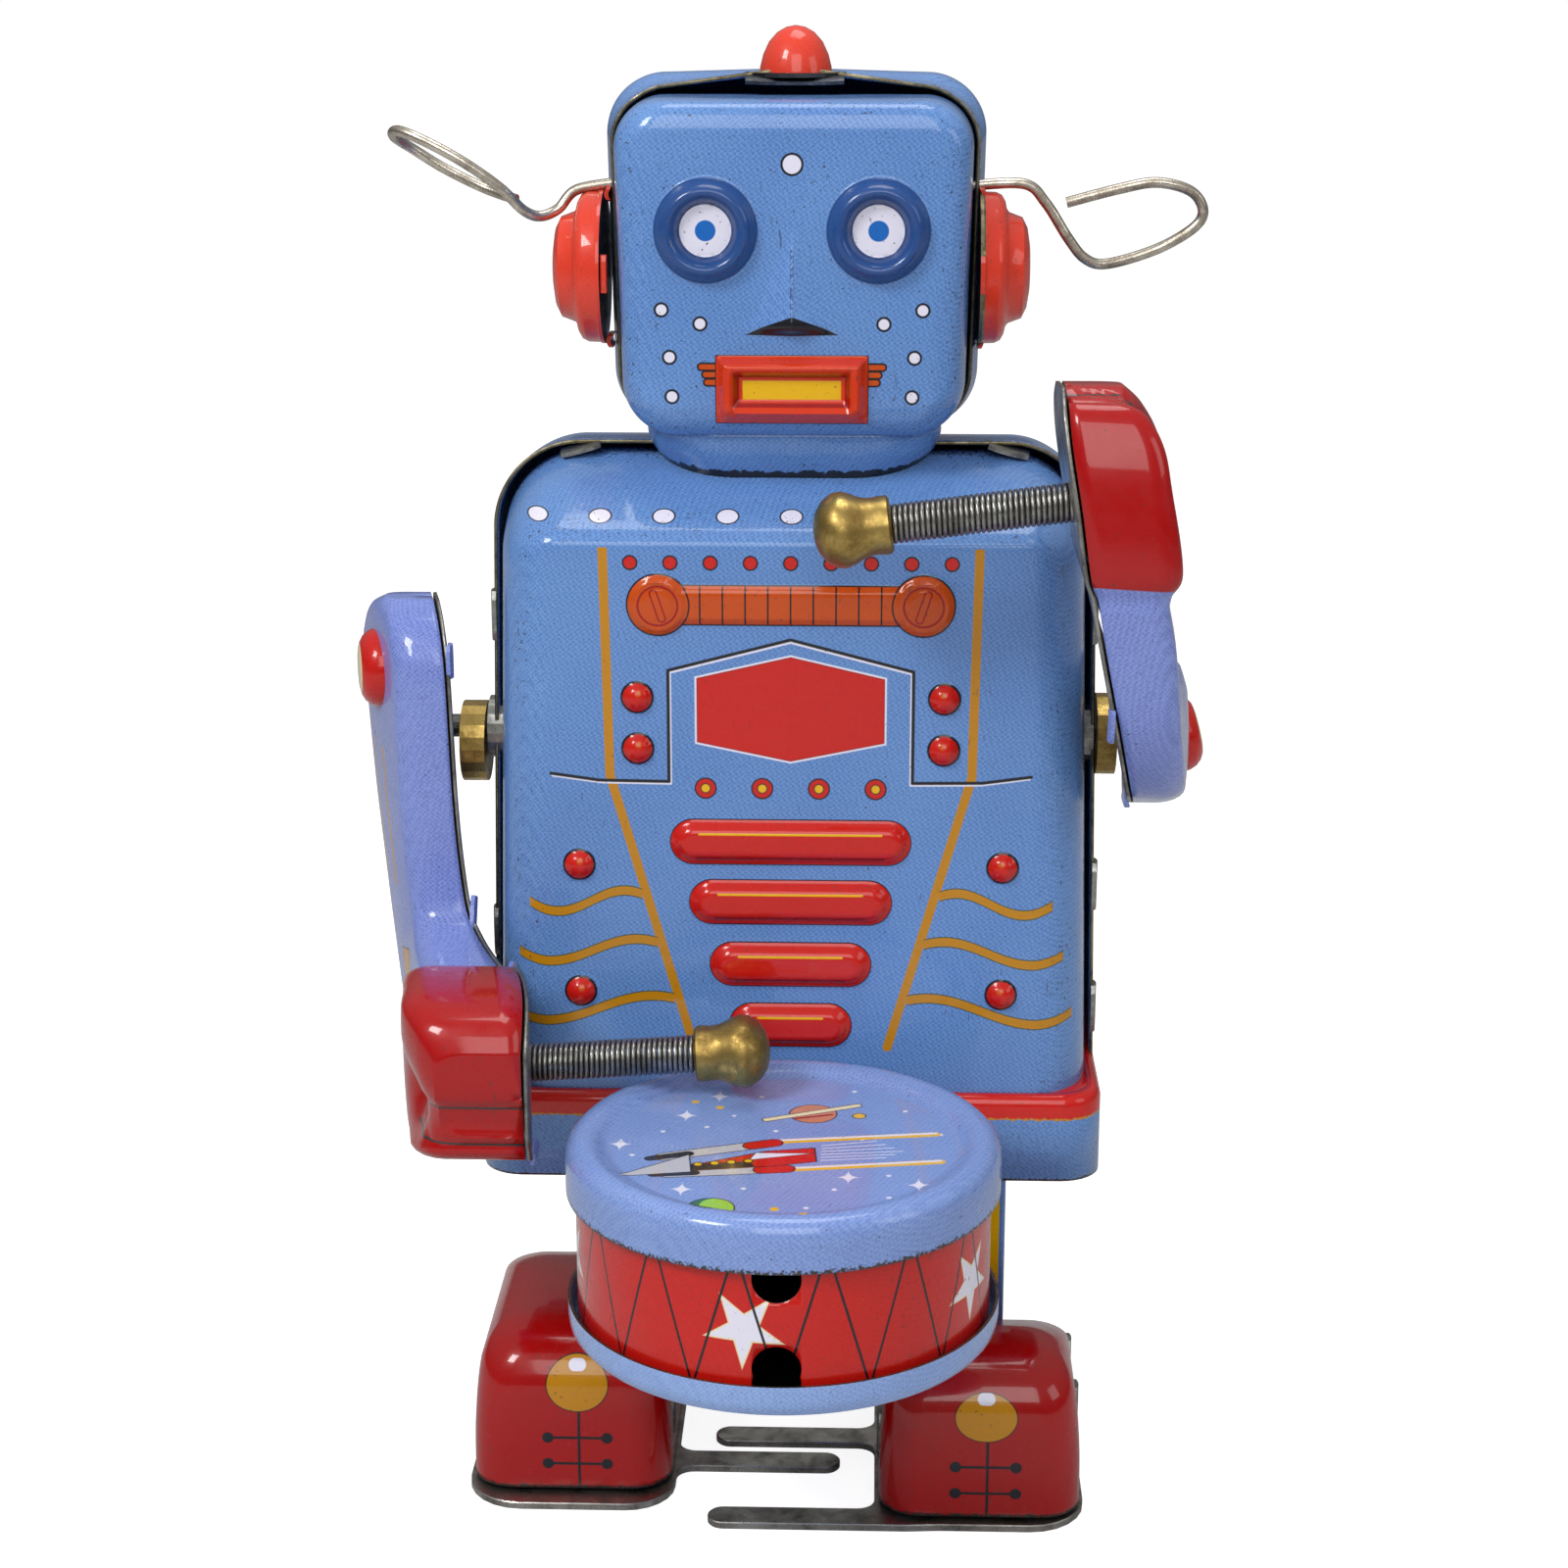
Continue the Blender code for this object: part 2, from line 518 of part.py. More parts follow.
def arm(build, name, side, play, lift):
    """One arm about its cross axis: shell, cover, hub, spindle, and the sprung drumstick."""
    place = (0.0, AXIS_Y, ARM_AXIS_Z)
    pivot = build.pivot(f"arm_{name}_axis", build.root, place)

    def settle(mesh):
        moved(mesh, Matrix.Rotation(-lift, 4, "X"))
        if side < 0:
            mirrored(mesh)
        return moved(mesh, Matrix.Translation(Vector(place) * MM))

    shell = build.part(f"arm_shell_{name}", settle(arm_solid(0.0, 0.0, play, 2.6)), "blue", pivot, place)
    build.tool(shell, settle(arm_solid(TIN, -1.0, play, 2.2)), "DIFFERENCE", place)
    boss = turned([(5.3, 0.0), (5.3, 2.2), (4.6, 2.9), (3.0, 3.2), (0.0, 3.2)], 18)
    boss = placed(boss, 53.2 - play, 1.0, 7.1, math.pi / 2.0, "Y")
    build.part(f"arm_boss_{name}", settle(moved(boss, Matrix.Translation((GAP * 2 * MM, 0, 0)))),
               "red", pivot, place)

    plate = build.part(f"arm_plate_{name}", settle(plate_solid(play)), "steel", pivot, place)
    bore = placed(turned([(1.8, 30.0), (1.8, 50.0)], 12), turn=math.pi / 2.0, axis="Y")
    build.tool(plate, settle(bore), "DIFFERENCE", place)

    plate_x = 41.7 - play
    hub_x = 37.5 if side > 0 else 38.6
    hub = turned([(1.8, 0.0), (5.1, 0.0), (5.1, plate_x - hub_x), (1.8, plate_x - hub_x)], 20, closed=True)
    for vert in hub.verts:
        if vert.co.xy.length > 3.0 * MM:
            vert.co.x += 1.9 * MM
    hub = placed(hub, hub_x, 0.0, 0.0, math.pi / 2.0, "Y")
    build.part(f"arm_hub_{name}", settle(hub), "brass", pivot, place)

    spindle = turned([(0.0, 14.0), (1.5, 14.0), (1.5, 46.0 - play), (0.0, 46.0 - play)], 12)
    spindle = build.part(f"arm_spindle_{name}", settle(placed(spindle, turn=math.pi / 2.0, axis="Y")),
                         "steel", pivot, place)
    rocker = box((14.4, -1.6, -1.0), (15.8, 1.6, 9.0))
    build.tool(spindle, settle(rocker), "UNION", place)

    start, end = stick_line(side)
    length = (end - start).length
    coil = turned([(1.4, 0.0), (2.4, 0.0), (2.4, length - 9.2), (1.4, length - 9.2)], 12, closed=True)
    build.part(f"stick_spring_{name}", settle(along(start, end, coil)), "steel", pivot, place)
    bead = [(0.0, -8.9), (3.1, -8.9), (3.4, -8.5), (3.15, -6.8), (3.3, -5.4), (4.2, -3.9), (4.4, -3.0),
            (4.1, -1.6), (3.0, -0.5), (1.4, 0.0), (0.0, 0.0)]
    bead = [(radius, length + height) for radius, height in bead]
    build.part(f"stick_bead_{name}", settle(along(start, end, turned(bead, 16))), "brass", pivot, place)


def arm_bushes(build):
    """Steel bushes in the body's sides that carry the arm spindles."""
    for side, name, outer_end in ((-1.0, "left", 38.3), (1.0, "right", 37.2)):
        bush = turned([(1.8, 31.0), (5.2, 31.0), (5.2, 32.0), (3.9, 32.0), (3.9, outer_end),
                       (1.8, outer_end)], 20, closed=True)
        build.part(f"arm_bush_{name}", placed(bush, 0.0, AXIS_Y, ARM_AXIS_Z, side * math.pi / 2.0, "Y"),
                   "steel")


# ---------------------------------------------------------------- legs and feet

def leg(build, name, side, front_prongs):
    """Leg channel, shoe and sole with its two outriggers, about the hip."""
    place = (0.0, AXIS_Y, HIP_Z)
    pivot = build.pivot(f"leg_{name}_axis", build.root, place)
    shift = SHOE_LEAD if side < 0 else -SHOE_LEAD
    inner, outer = 15.2, 27.4

    def put(node, mesh, finish):
        return build.part(node, mirrored(mesh) if side < 0 else mesh, finish, pivot, place)

    def cut(target, mesh):
        build.tool(target, mirrored(mesh) if side < 0 else mesh, "DIFFERENCE", place)

    y0, y1 = 12.0 + shift, 24.0 + shift
    column = loft([
        [(inner, y0, 23.6), (outer, y0, 23.6), (outer, y1, 23.6), (inner, y1, 23.6)],
        [(inner, y0, 38.0), (outer, y0, 38.0), (outer, y1, 38.0), (inner, y1, 38.0)],
        [(inner, AXIS_Y - 4, 50.0), (outer, AXIS_Y - 4, 50.0), (outer, AXIS_Y + 4, 50.0),
         (inner, AXIS_Y + 4, 50.0)],
    ])
    column = put(f"leg_{name}", column, "blue")
    hollow = loft([
        [(inner + 0.6, y0 + 0.6, 20.0), (outer - 0.6, y0 + 0.6, 20.0), (outer - 0.6, y1 + 9, 20.0),
         (inner + 0.6, y1 + 9, 20.0)],
        [(inner + 0.6, y0 + 0.6, 38.0), (outer - 0.6, y0 + 0.6, 38.0), (outer - 0.6, y1 + 9, 38.0),
         (inner + 0.6, y1 + 9, 38.0)],
        [(inner + 0.6, AXIS_Y - 3.3, 53.0), (outer - 0.6, AXIS_Y - 3.3, 53.0),
         (outer - 0.6, AXIS_Y + 13, 53.0), (inner + 0.6, AXIS_Y + 13, 53.0)],
    ])
    cut(column, hollow)
    hip_bore = placed(turned([(1.5, 0.0), (1.5, 60.0)], 12), 0.0, AXIS_Y, HIP_Z, math.pi / 2.0, "Y")
    cut(column, hip_bore)

    front = SHOE_FRONT_Y + shift + 1.6
    rear = SHOE_FRONT_Y + shift + SHOE_LENGTH - 1.6

    def ring(half, ahead, behind, z, radius=5.0):
        line = rounded_outline(half, half, ahead, behind, radius, radius)
        return [(SHOE_X + x, y, z) for x, y in line]

    outer_rings = [ring(12.0, front, rear, 1.4), ring(11.9, front + 0.1, rear, 8.0),
                   ring(11.4, front + 0.7, rear - 0.3, 17.0), ring(10.6, front + 1.8, rear - 1.0, 20.4),
                   ring(8.8, front + 4.2, rear - 3.0, 22.4), ring(6.4, front + 7.5, rear - 5.0, 23.2, 4.0)]
    inner_rings = [ring(11.5, front + 0.5, rear - 0.5, 1.4), ring(11.4, front + 0.6, rear - 0.5, 8.0),
                   ring(10.9, front + 1.2, rear - 0.8, 16.8), ring(10.1, front + 2.3, rear - 1.6, 19.9),
                   ring(8.5, front + 4.6, rear - 3.4, 21.9), ring(6.2, front + 7.8, rear - 5.3, 22.7, 4.0)]
    put(f"shoe_{name}", loft(outer_rings[::-1] + inner_rings), "red")

    def sole_ring(z):
        line = rounded_outline(13.0, 13.0, front - 1.6, rear + 1.6, 7.0, 7.0)
        return [(SHOE_X + x, y, z) for x, y in line]

    sole = put(f"sole_{name}", loft([sole_ring(0.0), sole_ring(1.0)]), "steel")
    for reach_y in front_prongs:
        prong = [(-9.8, reach_y - 1.1), (-9.3, reach_y - 1.6), (14.5, reach_y - 1.6), (14.5, reach_y + 1.6),
                 (-9.3, reach_y + 1.6), (-9.8, reach_y + 1.1)]
        if side < 0:
            prong = [(x + 3.4 if x < 0 else x, y) for x, y in prong]
        mesh = loft([[(x, y, z) for x, y in prong] for z in (0.0, 0.9)])
        mesh = mirrored(mesh) if side < 0 else mesh
        build.tool(sole, mesh, "UNION", place)


def hip_rod(build):
    rod = turned([(0.0, -33.0), (1.2, -33.0), (1.2, 33.0), (0.0, 33.0)], 12)
    build.part("hip_rod", placed(rod, 0.0, AXIS_Y, HIP_Z, math.pi / 2.0, "Y"), "steel")


# ---------------------------------------------------------------- clockwork

def gear_loop(teeth, module, height, phase):
    """Outline of a spur gear with straight-flanked teeth, four points a tooth."""
    pitch = 0.5 * teeth * module
    tip, root = pitch + 0.85 * module, pitch - 1.1 * module
    step = 2.0 * math.pi / teeth
    points = []
    for tooth in range(teeth):
        middle = phase + tooth * step
        for radius, share in ((root, -0.31), (tip, -0.12), (tip, 0.12), (root, 0.31)):
            angle = middle + share * step
            points.append((radius * math.cos(angle), radius * math.sin(angle), height))
    return points


def gear(teeth, module, low, high, phase=0.0, bore=None):
    outer = [gear_loop(teeth, module, height, phase) for height in (low, high)]
    if bore is None:
        return loft(outer)
    count = len(outer[0])
    inner = []
    for height in (high, low):
        angles = [math.atan2(y, x) for x, y, _ in outer[0][:count]]
        inner.append([(bore * math.cos(a), bore * math.sin(a), height) for a in angles])
    return loft(outer + inner, closed=True)


def train_points():
    """Centres of the second and the escape arbor, as (x, z)."""
    first = 0.5 * FIRST_MODULE * (GREAT_TEETH + PINION_TEETH)
    turn = math.radians(-45.0)
    second = (first * math.cos(turn), KEY_Z + first * math.sin(turn))
    reach = 0.5 * SECOND_MODULE * (SECOND_TEETH + ESCAPE_PINION_TEETH)
    turn = math.radians(-30.0)
    escape = (second[0] + reach * math.cos(turn), second[1] + reach * math.sin(turn))
    return second, escape


def on_arbor(mesh, centre):
    """Stand a shape turned about Z on an arbor that runs along Y; height becomes y."""
    return placed(mesh, centre[0], 0.0, centre[1], -math.pi / 2.0)


def rod(radius, low, high, segments=12):
    return turned([(0.0, low), (radius, low), (radius, high), (0.0, high)], segments)


def clockwork(build):
    second, escape = train_points()
    key_centre = (0.0, KEY_Z)
    pallet_centre = (escape[0], escape[1] + 10.6)

    for name, y in (("motor_plate_front", MOTOR_FRONT_Y), ("motor_plate_rear", MOTOR_REAR_Y)):
        sheet = box((-20.0, y, 52.4), (28.0, y + MOTOR_PLATE, 89.0))
        plate = build.part(name, sheet, "steel")
        for centre, radius in ((key_centre, 2.4), (second, 1.1), (escape, 1.1), (pallet_centre, 1.1)):
            cutter = on_arbor(rod(radius, y - 2.0, y + 3.0), centre)
            build.tool(plate, cutter, "DIFFERENCE")
    corners = {"low_left": (-17.0, 55.0), "top_left": (-17.0, 86.0), "top_right": (25.0, 86.0)}
    for name, centre in corners.items():
        post = rod(1.8, MOTOR_FRONT_Y + MOTOR_PLATE + GAP, MOTOR_REAR_Y - GAP)
        build.part(f"motor_pillar_{name}", on_arbor(post, centre), "brass")

    coil = []
    steps = SPRING_TURNS * 14
    for step in range(steps + 1):
        angle = 2.0 * math.pi * step / 14
        radius = 3.6 + 7.2 * step / steps
        coil.append((radius * math.cos(angle), radius * math.sin(angle)))
    build.part("mainspring", on_arbor(ribbon(coil, 0.35, 16.5, 24.5), key_centre), "dark_steel")

    key_axis = build.pivot("key_axis", build.root, (0.0, 0.0, KEY_Z))
    key_place = (0.0, 0.0, KEY_Z)
    build.part("winding_arbor", on_arbor(rod(2.0, MOTOR_FRONT_Y - 1.0, 44.0, 16), key_centre), "steel",
               key_axis, key_place)
    wheel = gear(GREAT_TEETH, FIRST_MODULE, 11.0, 12.4, bore=2.3)
    build.part("great_wheel", on_arbor(wheel, key_centre), "brass", key_axis, key_place)
    winding_key(build, key_axis, key_place)

    second_axis = build.pivot("second_axis", build.root, (second[0], 0.0, second[1]))
    second_place = (second[0], 0.0, second[1])
    # on_arbor turns +Y of the gear's own plane down, so a line of centres changes its sign there.
    phase = mesh_phase(GREAT_TEETH, PINION_TEETH, math.radians(45.0), 0.0)
    pinion = gear(PINION_TEETH, FIRST_MODULE, 10.6, 12.8, phase)
    arbor = build.part("second_arbor", on_arbor(rod(0.8, MOTOR_FRONT_Y - 0.6, 29.4), second), "steel",
                       second_axis, second_place)
    build.tool(arbor, on_arbor(pinion, second), "UNION", second_place)
    wheel = gear(SECOND_TEETH, SECOND_MODULE, 25.6, 26.8, bore=1.1)
    build.part("second_wheel", on_arbor(wheel, second), "brass", second_axis, second_place)

    escape_axis = build.pivot("escape_axis", build.root, (escape[0], 0.0, escape[1]))
    escape_place = (escape[0], 0.0, escape[1])
    phase = mesh_phase(SECOND_TEETH, ESCAPE_PINION_TEETH, math.radians(30.0), 0.0)
    pinion = gear(ESCAPE_PINION_TEETH, SECOND_MODULE, 25.0, 27.4, phase)
    arbor = build.part("escape_arbor", on_arbor(rod(0.8, MOTOR_FRONT_Y - 0.6, 29.4), escape), "steel",
                       escape_axis, escape_place)
    build.tool(arbor, on_arbor(pinion, escape), "UNION", escape_place)
    star = gear(15, 0.8, 19.0, 20.0, bore=1.1)
    build.part("escape_wheel", on_arbor(star, escape), "brass", escape_axis, escape_place)

    pallet_axis = build.pivot("pallet_axis", build.root, (pallet_centre[0], 0.0, pallet_centre[1]))
    pallet_place = (pallet_centre[0], 0.0, pallet_centre[1])
    pallet = build.part("governor_pallet", on_arbor(rod(0.8, MOTOR_FRONT_Y - 0.6, 29.4), pallet_centre),
                        "steel", pallet_axis, pallet_place)
    x, z = pallet_centre
    build.tool(pallet, box((x - 4.6, 19.0, z - 0.9), (x + 4.6, 20.2, z + 1.4)), "UNION", pallet_place)


def mesh_phase(driver_teeth, driven_teeth, facing, driver_phase):
    """Turn of a driven gear that puts its tooth space on the driver's tooth at the meeting line."""
    driver_step = 2.0 * math.pi / driver_teeth
    driven_step = 2.0 * math.pi / driven_teeth
    past_tooth = (facing - driver_phase) % driver_step
    share = past_tooth / driver_step
    return facing + math.pi + 0.5 * driven_step + share * driven_step


def ribbon(line, thickness, low, high):
    """A spiral strip standing on its edge."""
    count = len(line)
    left, right = [], []
    for index, (x, y) in enumerate(line):
        ahead = line[min(index + 1, count - 1)]
        behind = line[max(index - 1, 0)]
        tangent = Vector((ahead[0] - behind[0], ahead[1] - behind[1])).normalized()
        normal = Vector((-tangent.y, tangent.x)) * (0.5 * thickness)
        left.append((x + normal.x, y + normal.y))
        right.append((x - normal.x, y - normal.y))
    sections = [[(*a, low), (*b, low), (*b, high), (*a, high)] for a, b in zip(left, right)]
    return loft(sections)


def winding_key(build, axis, place):
    """Flat butterfly key on the square end of the winding arbor."""
    wing = []
    for step in range(25):
        angle = -0.5 * math.pi + math.pi * step / 24
        wing.append((5.6 + 5.0 * math.cos(angle), 5.4 * math.sin(angle)))
    for step in range(25):
        angle = 0.5 * math.pi + math.pi * step / 24
        wing.append((-5.6 + 5.0 * math.cos(angle), 5.4 * math.sin(angle)))
    blade = loft([[(x, y + 49.5, z + KEY_Z) for x, y in wing] for z in (-0.6, 0.6)])
    key = build.part("winding_key", blade, "steel", axis, place)
    socket = on_arbor(turned([(2.3, 40.0), (3.3, 40.0), (3.3, 45.2), (2.3, 45.2)], 16, closed=True),
                      (0.0, KEY_Z))
    build.tool(key, on_arbor(rod(2.3, 39.0, 45.2, 16), (0.0, KEY_Z)), "DIFFERENCE", place)
    build.tool(key, socket, "UNION", place)


# ---------------------------------------------------------------- assembly

def clear_scene():
    for thing in list(bpy.data.objects):
        bpy.data.objects.remove(thing, do_unlink=True)


def main():
    clear_scene()
    build = Builder()
    body_shells(build)
    base_pan(build)
    head(build)
    lamp(build)
    ears_and_aerials(build)
    drum(build)
    arm_bushes(build)
    arm(build, "left", -1.0, 0.0, 0.0)
    arm(build, "right", 1.0, ARM_PLAY, ARM_LIFT)
    leg(build, "left", -1.0, (-0.4, 20.2))
    leg(build, "right", 1.0, (-14.4, 6.2))
    hip_rod(build)
    clockwork(build)


main()
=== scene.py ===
"""Looks of the tin wind-up drummer robot: pressed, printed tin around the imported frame.

Lengths in the classes are millimetres in the robot's own frame: x = 0 is its middle, y = 0 the flat
front of the body and z = 0 the surface under the soles. Datum turns them into the frame's metres.
"""

import logging
import math
from dataclasses import dataclass
from enum import Enum
from typing import Callable, Dict, Iterable, List, Optional, Sequence, Tuple

import bmesh
import bpy
import numpy as np
from mathutils import Matrix, Vector


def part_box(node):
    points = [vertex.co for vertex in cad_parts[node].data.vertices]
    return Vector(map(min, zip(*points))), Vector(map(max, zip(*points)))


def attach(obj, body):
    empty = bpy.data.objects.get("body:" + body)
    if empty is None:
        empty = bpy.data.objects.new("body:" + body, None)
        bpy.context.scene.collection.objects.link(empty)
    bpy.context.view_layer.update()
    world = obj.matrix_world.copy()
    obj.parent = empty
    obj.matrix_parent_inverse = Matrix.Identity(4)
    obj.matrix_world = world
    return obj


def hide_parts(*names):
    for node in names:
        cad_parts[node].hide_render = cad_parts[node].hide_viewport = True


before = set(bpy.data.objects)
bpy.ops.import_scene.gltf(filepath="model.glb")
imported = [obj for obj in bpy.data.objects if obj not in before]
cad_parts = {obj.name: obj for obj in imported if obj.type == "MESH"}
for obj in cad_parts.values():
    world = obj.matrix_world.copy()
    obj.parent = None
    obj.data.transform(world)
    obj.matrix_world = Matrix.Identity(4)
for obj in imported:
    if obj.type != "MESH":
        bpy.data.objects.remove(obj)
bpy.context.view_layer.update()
LOG = logging.getLogger("robot")

# MM is a millimetre in metres. The tin's thickness, the reach within which points merge and the curl of a
# tab's end are in millimetres, and a turned piece's edges stay crisp past TURNED_SHARP degrees.
MM = 0.001
TIN = 0.45
MERGE = 0.002
TAB_SAG = 0.25
TURNED_SHARP = 35.0
WHITE = (1.0, 1.0, 1.0, 1.0)
Colour = Tuple[float, float, float]
Point = Tuple[float, float, float]


class Side(Enum):
    """The robot's two sides as seen from its front: LEFT is -X."""

    LEFT = -1.0
    RIGHT = 1.0

    @property
    def word(self) -> str:
        """The side's name as the frame's nodes spell it."""
        return self.name.lower()


class Datum:
    """Turns robot-frame millimetres into the frame's metres, and reads node sizes back."""

    skirt_low, skirt_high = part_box("base_skirt")
    mid_x: float = 0.5 * (skirt_low.x + skirt_high.x)
    front_y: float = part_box("body_front_shell")[0].y
    offset_mm: Point = (mid_x / MM, front_y / MM, 0.0)

    @classmethod
    def to_frame(cls, points: Iterable[Sequence[float]]) -> List[Vector]:
        """Robot-frame millimetres as frame metres."""
        shift = Vector(cls.offset_mm)
        return [(Vector(point) + shift) * MM for point in points]

    @classmethod
    def box(cls, node: str) -> Tuple[Vector, Vector]:
        """A node's lowest and highest corner in robot-frame millimetres."""
        low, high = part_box(node)
        shift = Vector(cls.offset_mm)
        return low / MM - shift, high / MM - shift


def srgb(red: int, green: int, blue: int) -> Colour:
    """A screen colour of 0 to 255 as linear light.

    Args:
        red: Red share.
        green: Green share.
        blue: Blue share.

    Returns:
        The linear colour.
    """
    shares = (channel / 255.0 for channel in (red, green, blue))
    return tuple(s / 12.92 if s <= 0.04045 else ((s + 0.055) / 1.055) ** 2.4 for s in shares)


class Ink:
    """Printing inks and bare metals of the toy, as linear colours; some also give painted shade and painted
    highlights.
    """

    BODY_BLUE = srgb(112, 155, 214)
    BODY_DOT = srgb(58, 98, 168)
    ARM_BLUE = srgb(138, 156, 222)
    ARM_DOT = srgb(84, 98, 176)
    CAP_BLUE = srgb(138, 164, 220)
    CAP_DOT = srgb(92, 118, 186)
    EYE_RING = srgb(38, 76, 138)
    EYE_DEEP = srgb(34, 66, 122)
    PUPIL = srgb(24, 104, 190)
    RED = srgb(204, 24, 14)
    DEEP_RED = srgb(156, 10, 8)
    SHOE_RED = srgb(168, 6, 8)
    CORAL = srgb(226, 66, 44)
    ORANGE = srgb(200, 76, 10)
    MUSTARD = srgb(194, 132, 10)
    YELLOW = srgb(234, 184, 16)
    LILAC = srgb(230, 228, 244)
    BLACK = srgb(22, 22, 30)
    CREAM = srgb(238, 222, 178)
    GREEN = srgb(150, 206, 60)
    DARK_GREEN = srgb(40, 110, 80)
    TERRACOTTA = srgb(206, 130, 96)
    SILVER = srgb(190, 190, 196)
    # Dark brown of chipped tin; also the painted shade in the fist's creases and above the soles.
    CHIP = srgb(58, 52, 50)
    SHADE = srgb(70, 84, 60)
    MOUTH = srgb(212, 52, 10)


# ------------------------------------------------------------------ shader tools

class NodeSheet:
    """Short ways to lay out nodes in one node tree."""

    def __init__(self, tree: bpy.types.NodeTree) -> None:
        """Keep the tree that the nodes are added to."""
        self.tree = tree

    def add(self, kind: str, **settings: object) -> bpy.types.Node:
        """Add a node of a kind and set its properties."""
        node = self.tree.nodes.new(kind)
        for name, value in settings.items():
            setattr(node, name, value)
        return node

    def feed(self, socket: bpy.types.NodeSocket, value: object) -> None:
        """Link a socket to another one, or set its own value.

        Args:
            socket: The input to set.
            value: An output socket, a number or a vector.
        """
        if isinstance(value, bpy.types.NodeSocket):
            self.tree.links.new(value, socket)
        elif hasattr(value, "__len__") and socket.type == "RGBA" and len(value) == 3:
            socket.default_value = (*value, 1.0)
        else:
            socket.default_value = value

    def math(self, operation: str, *values: object, clamp: bool = False) -> bpy.types.NodeSocket:
        """A Math node's result.

        Args:
            operation: The Math node's operation.
            values: Its inputs, in order.
            clamp: Whether the result stays in 0 to 1.

        Returns:
            The result's socket.
        """
        node = self.add("ShaderNodeMath", operation=operation, use_clamp=clamp)
        for socket, value in zip(node.inputs, values):
            self.feed(socket, value)
        return node.outputs[0]

    def plus(self, first: object, second: object) -> bpy.types.NodeSocket:
        """The sum of two values."""
        return self.math("ADD", first, second)

    def minus(self, first: object, second: object) -> bpy.types.NodeSocket:
        """The first value less the second."""
        return self.math("SUBTRACT", first, second)

    def times(self, first: object, second: object) -> bpy.types.NodeSocket:
        """The product of two values."""
        return self.math("MULTIPLY", first, second)

    def size(self, value: object) -> bpy.types.NodeSocket:
        """A value without its sign."""
        return self.math("ABSOLUTE", value)

    def below(self, value: object, limit: object) -> bpy.types.NodeSocket:
        """1 where a value is less than a limit."""
        return self.math("LESS_THAN", value, limit)

    def above(self, value: object, limit: object) -> bpy.types.NodeSocket:
        """1 where a value is more than a limit."""
        return self.math("GREATER_THAN", value, limit)

    def vector(self, operation: str, *values: object, result: str = "Vector") -> bpy.types.NodeSocket:
        """A Vector Math node's result.

        Args:
            operation: The node's operation.
            values: Its inputs, in order.
            result: The name of the output to read.

        Returns:
            The result's socket.
        """
        node = self.add("ShaderNodeVectorMath", operation=operation)
        for socket, value in zip(node.inputs, values):
            self.feed(socket, value)
        return node.outputs[result]

    def scaled(self, vector: object, factor: object) -> bpy.types.NodeSocket:
        """A vector times a number."""
        node = self.add("ShaderNodeVectorMath", operation="SCALE")
        self.feed(node.inputs[0], vector)
        self.feed(node.inputs["Scale"], factor)
        return node.outputs[0]

    def split(self, vector: object) -> List[bpy.types.NodeSocket]:
        """The three shares of a vector."""
        node = self.add("ShaderNodeSeparateXYZ")
        self.feed(node.inputs[0], vector)
        return list(node.outputs)

    def join(self, x: object, y: object, z: object = 0.0) -> bpy.types.NodeSocket:
        """A vector of three shares."""
        node = self.add("ShaderNodeCombineXYZ")
        for socket, value in zip(node.inputs, (x, y, z)):
            self.feed(socket, value)
        return node.outputs[0]

    def mix(self, mask: object, under: object, over: object) -> bpy.types.NodeSocket:
        """Colour laid over another where a mask is 1.

        Args:
            mask: The mask from 0 to 1.
            under: The colour below.
            over: The colour on top.

        Returns:
            The mixed colour's socket.
        """
        node = self.add("ShaderNodeMix", data_type="RGBA")
        self.feed(node.inputs[0], mask)
        self.feed(node.inputs[6], under)
        self.feed(node.inputs[7], over)
        return node.outputs[2]

    def noise(self, vector: object, scale: float, detail: float = 2.0, rough: float = 0.5,
              distortion: float = 0.0) -> bpy.types.NodeSocket:
        """A noise value.

        Args:
            vector: Where the noise is read.
            scale: How fine it is.
            detail: Its octaves.
            rough: The share of each finer octave.
            distortion: How far it is pulled about.

        Returns:
            The noise value's socket.
        """
        node = self.add("ShaderNodeTexNoise")
        self.feed(node.inputs["Vector"], vector)
        node.inputs["Scale"].default_value = scale
        node.inputs["Detail"].default_value = detail
        node.inputs["Roughness"].default_value = rough
        node.inputs["Distortion"].default_value = distortion
        return node.outputs[0]

    def remap(self, value: object, low: float, high: float, out_low: float = 0.0,
              out_high: float = 1.0) -> bpy.types.NodeSocket:
        """A value spread from one range to another, kept inside the second.

        Args:
            value: The value to spread.
            low: Where the first range starts.
            high: Where it ends.
            out_low: Where the second range starts.
            out_high: Where it ends.

        Returns:
            The spread value's socket.
        """
        node = self.add("ShaderNodeMapRange")
        self.feed(node.inputs[0], value)
        for socket, number in zip(node.inputs[1:5], (low, high, out_low, out_high)):
            socket.default_value = number
        return node.outputs[0]

    def bump(self, shader: bpy.types.Node, height: object, strength: float, depth: float) -> None:
        """Give a surface shader a bump.

        Args:
            shader: The surface shader.
            height: The bump's height.
            strength: How strongly it shows.
            depth: Its depth in millimetres.
        """
        node = self.add("ShaderNodeBump")
        node.inputs["Strength"].default_value = strength
        node.inputs["Distance"].default_value = depth * MM
        self.feed(node.inputs["Height"], height)
        self.feed(shader.inputs["Normal"], node.outputs[0])

    def group(self, tree: bpy.types.NodeTree, **values: object) -> bpy.types.Node:
        """Place a node group and feed its named inputs."""
        node = self.add("ShaderNodeGroup")
        node.node_tree = tree
        for name, value in values.items():
            self.feed(node.inputs[name.replace("_", " ")], value)
        return node


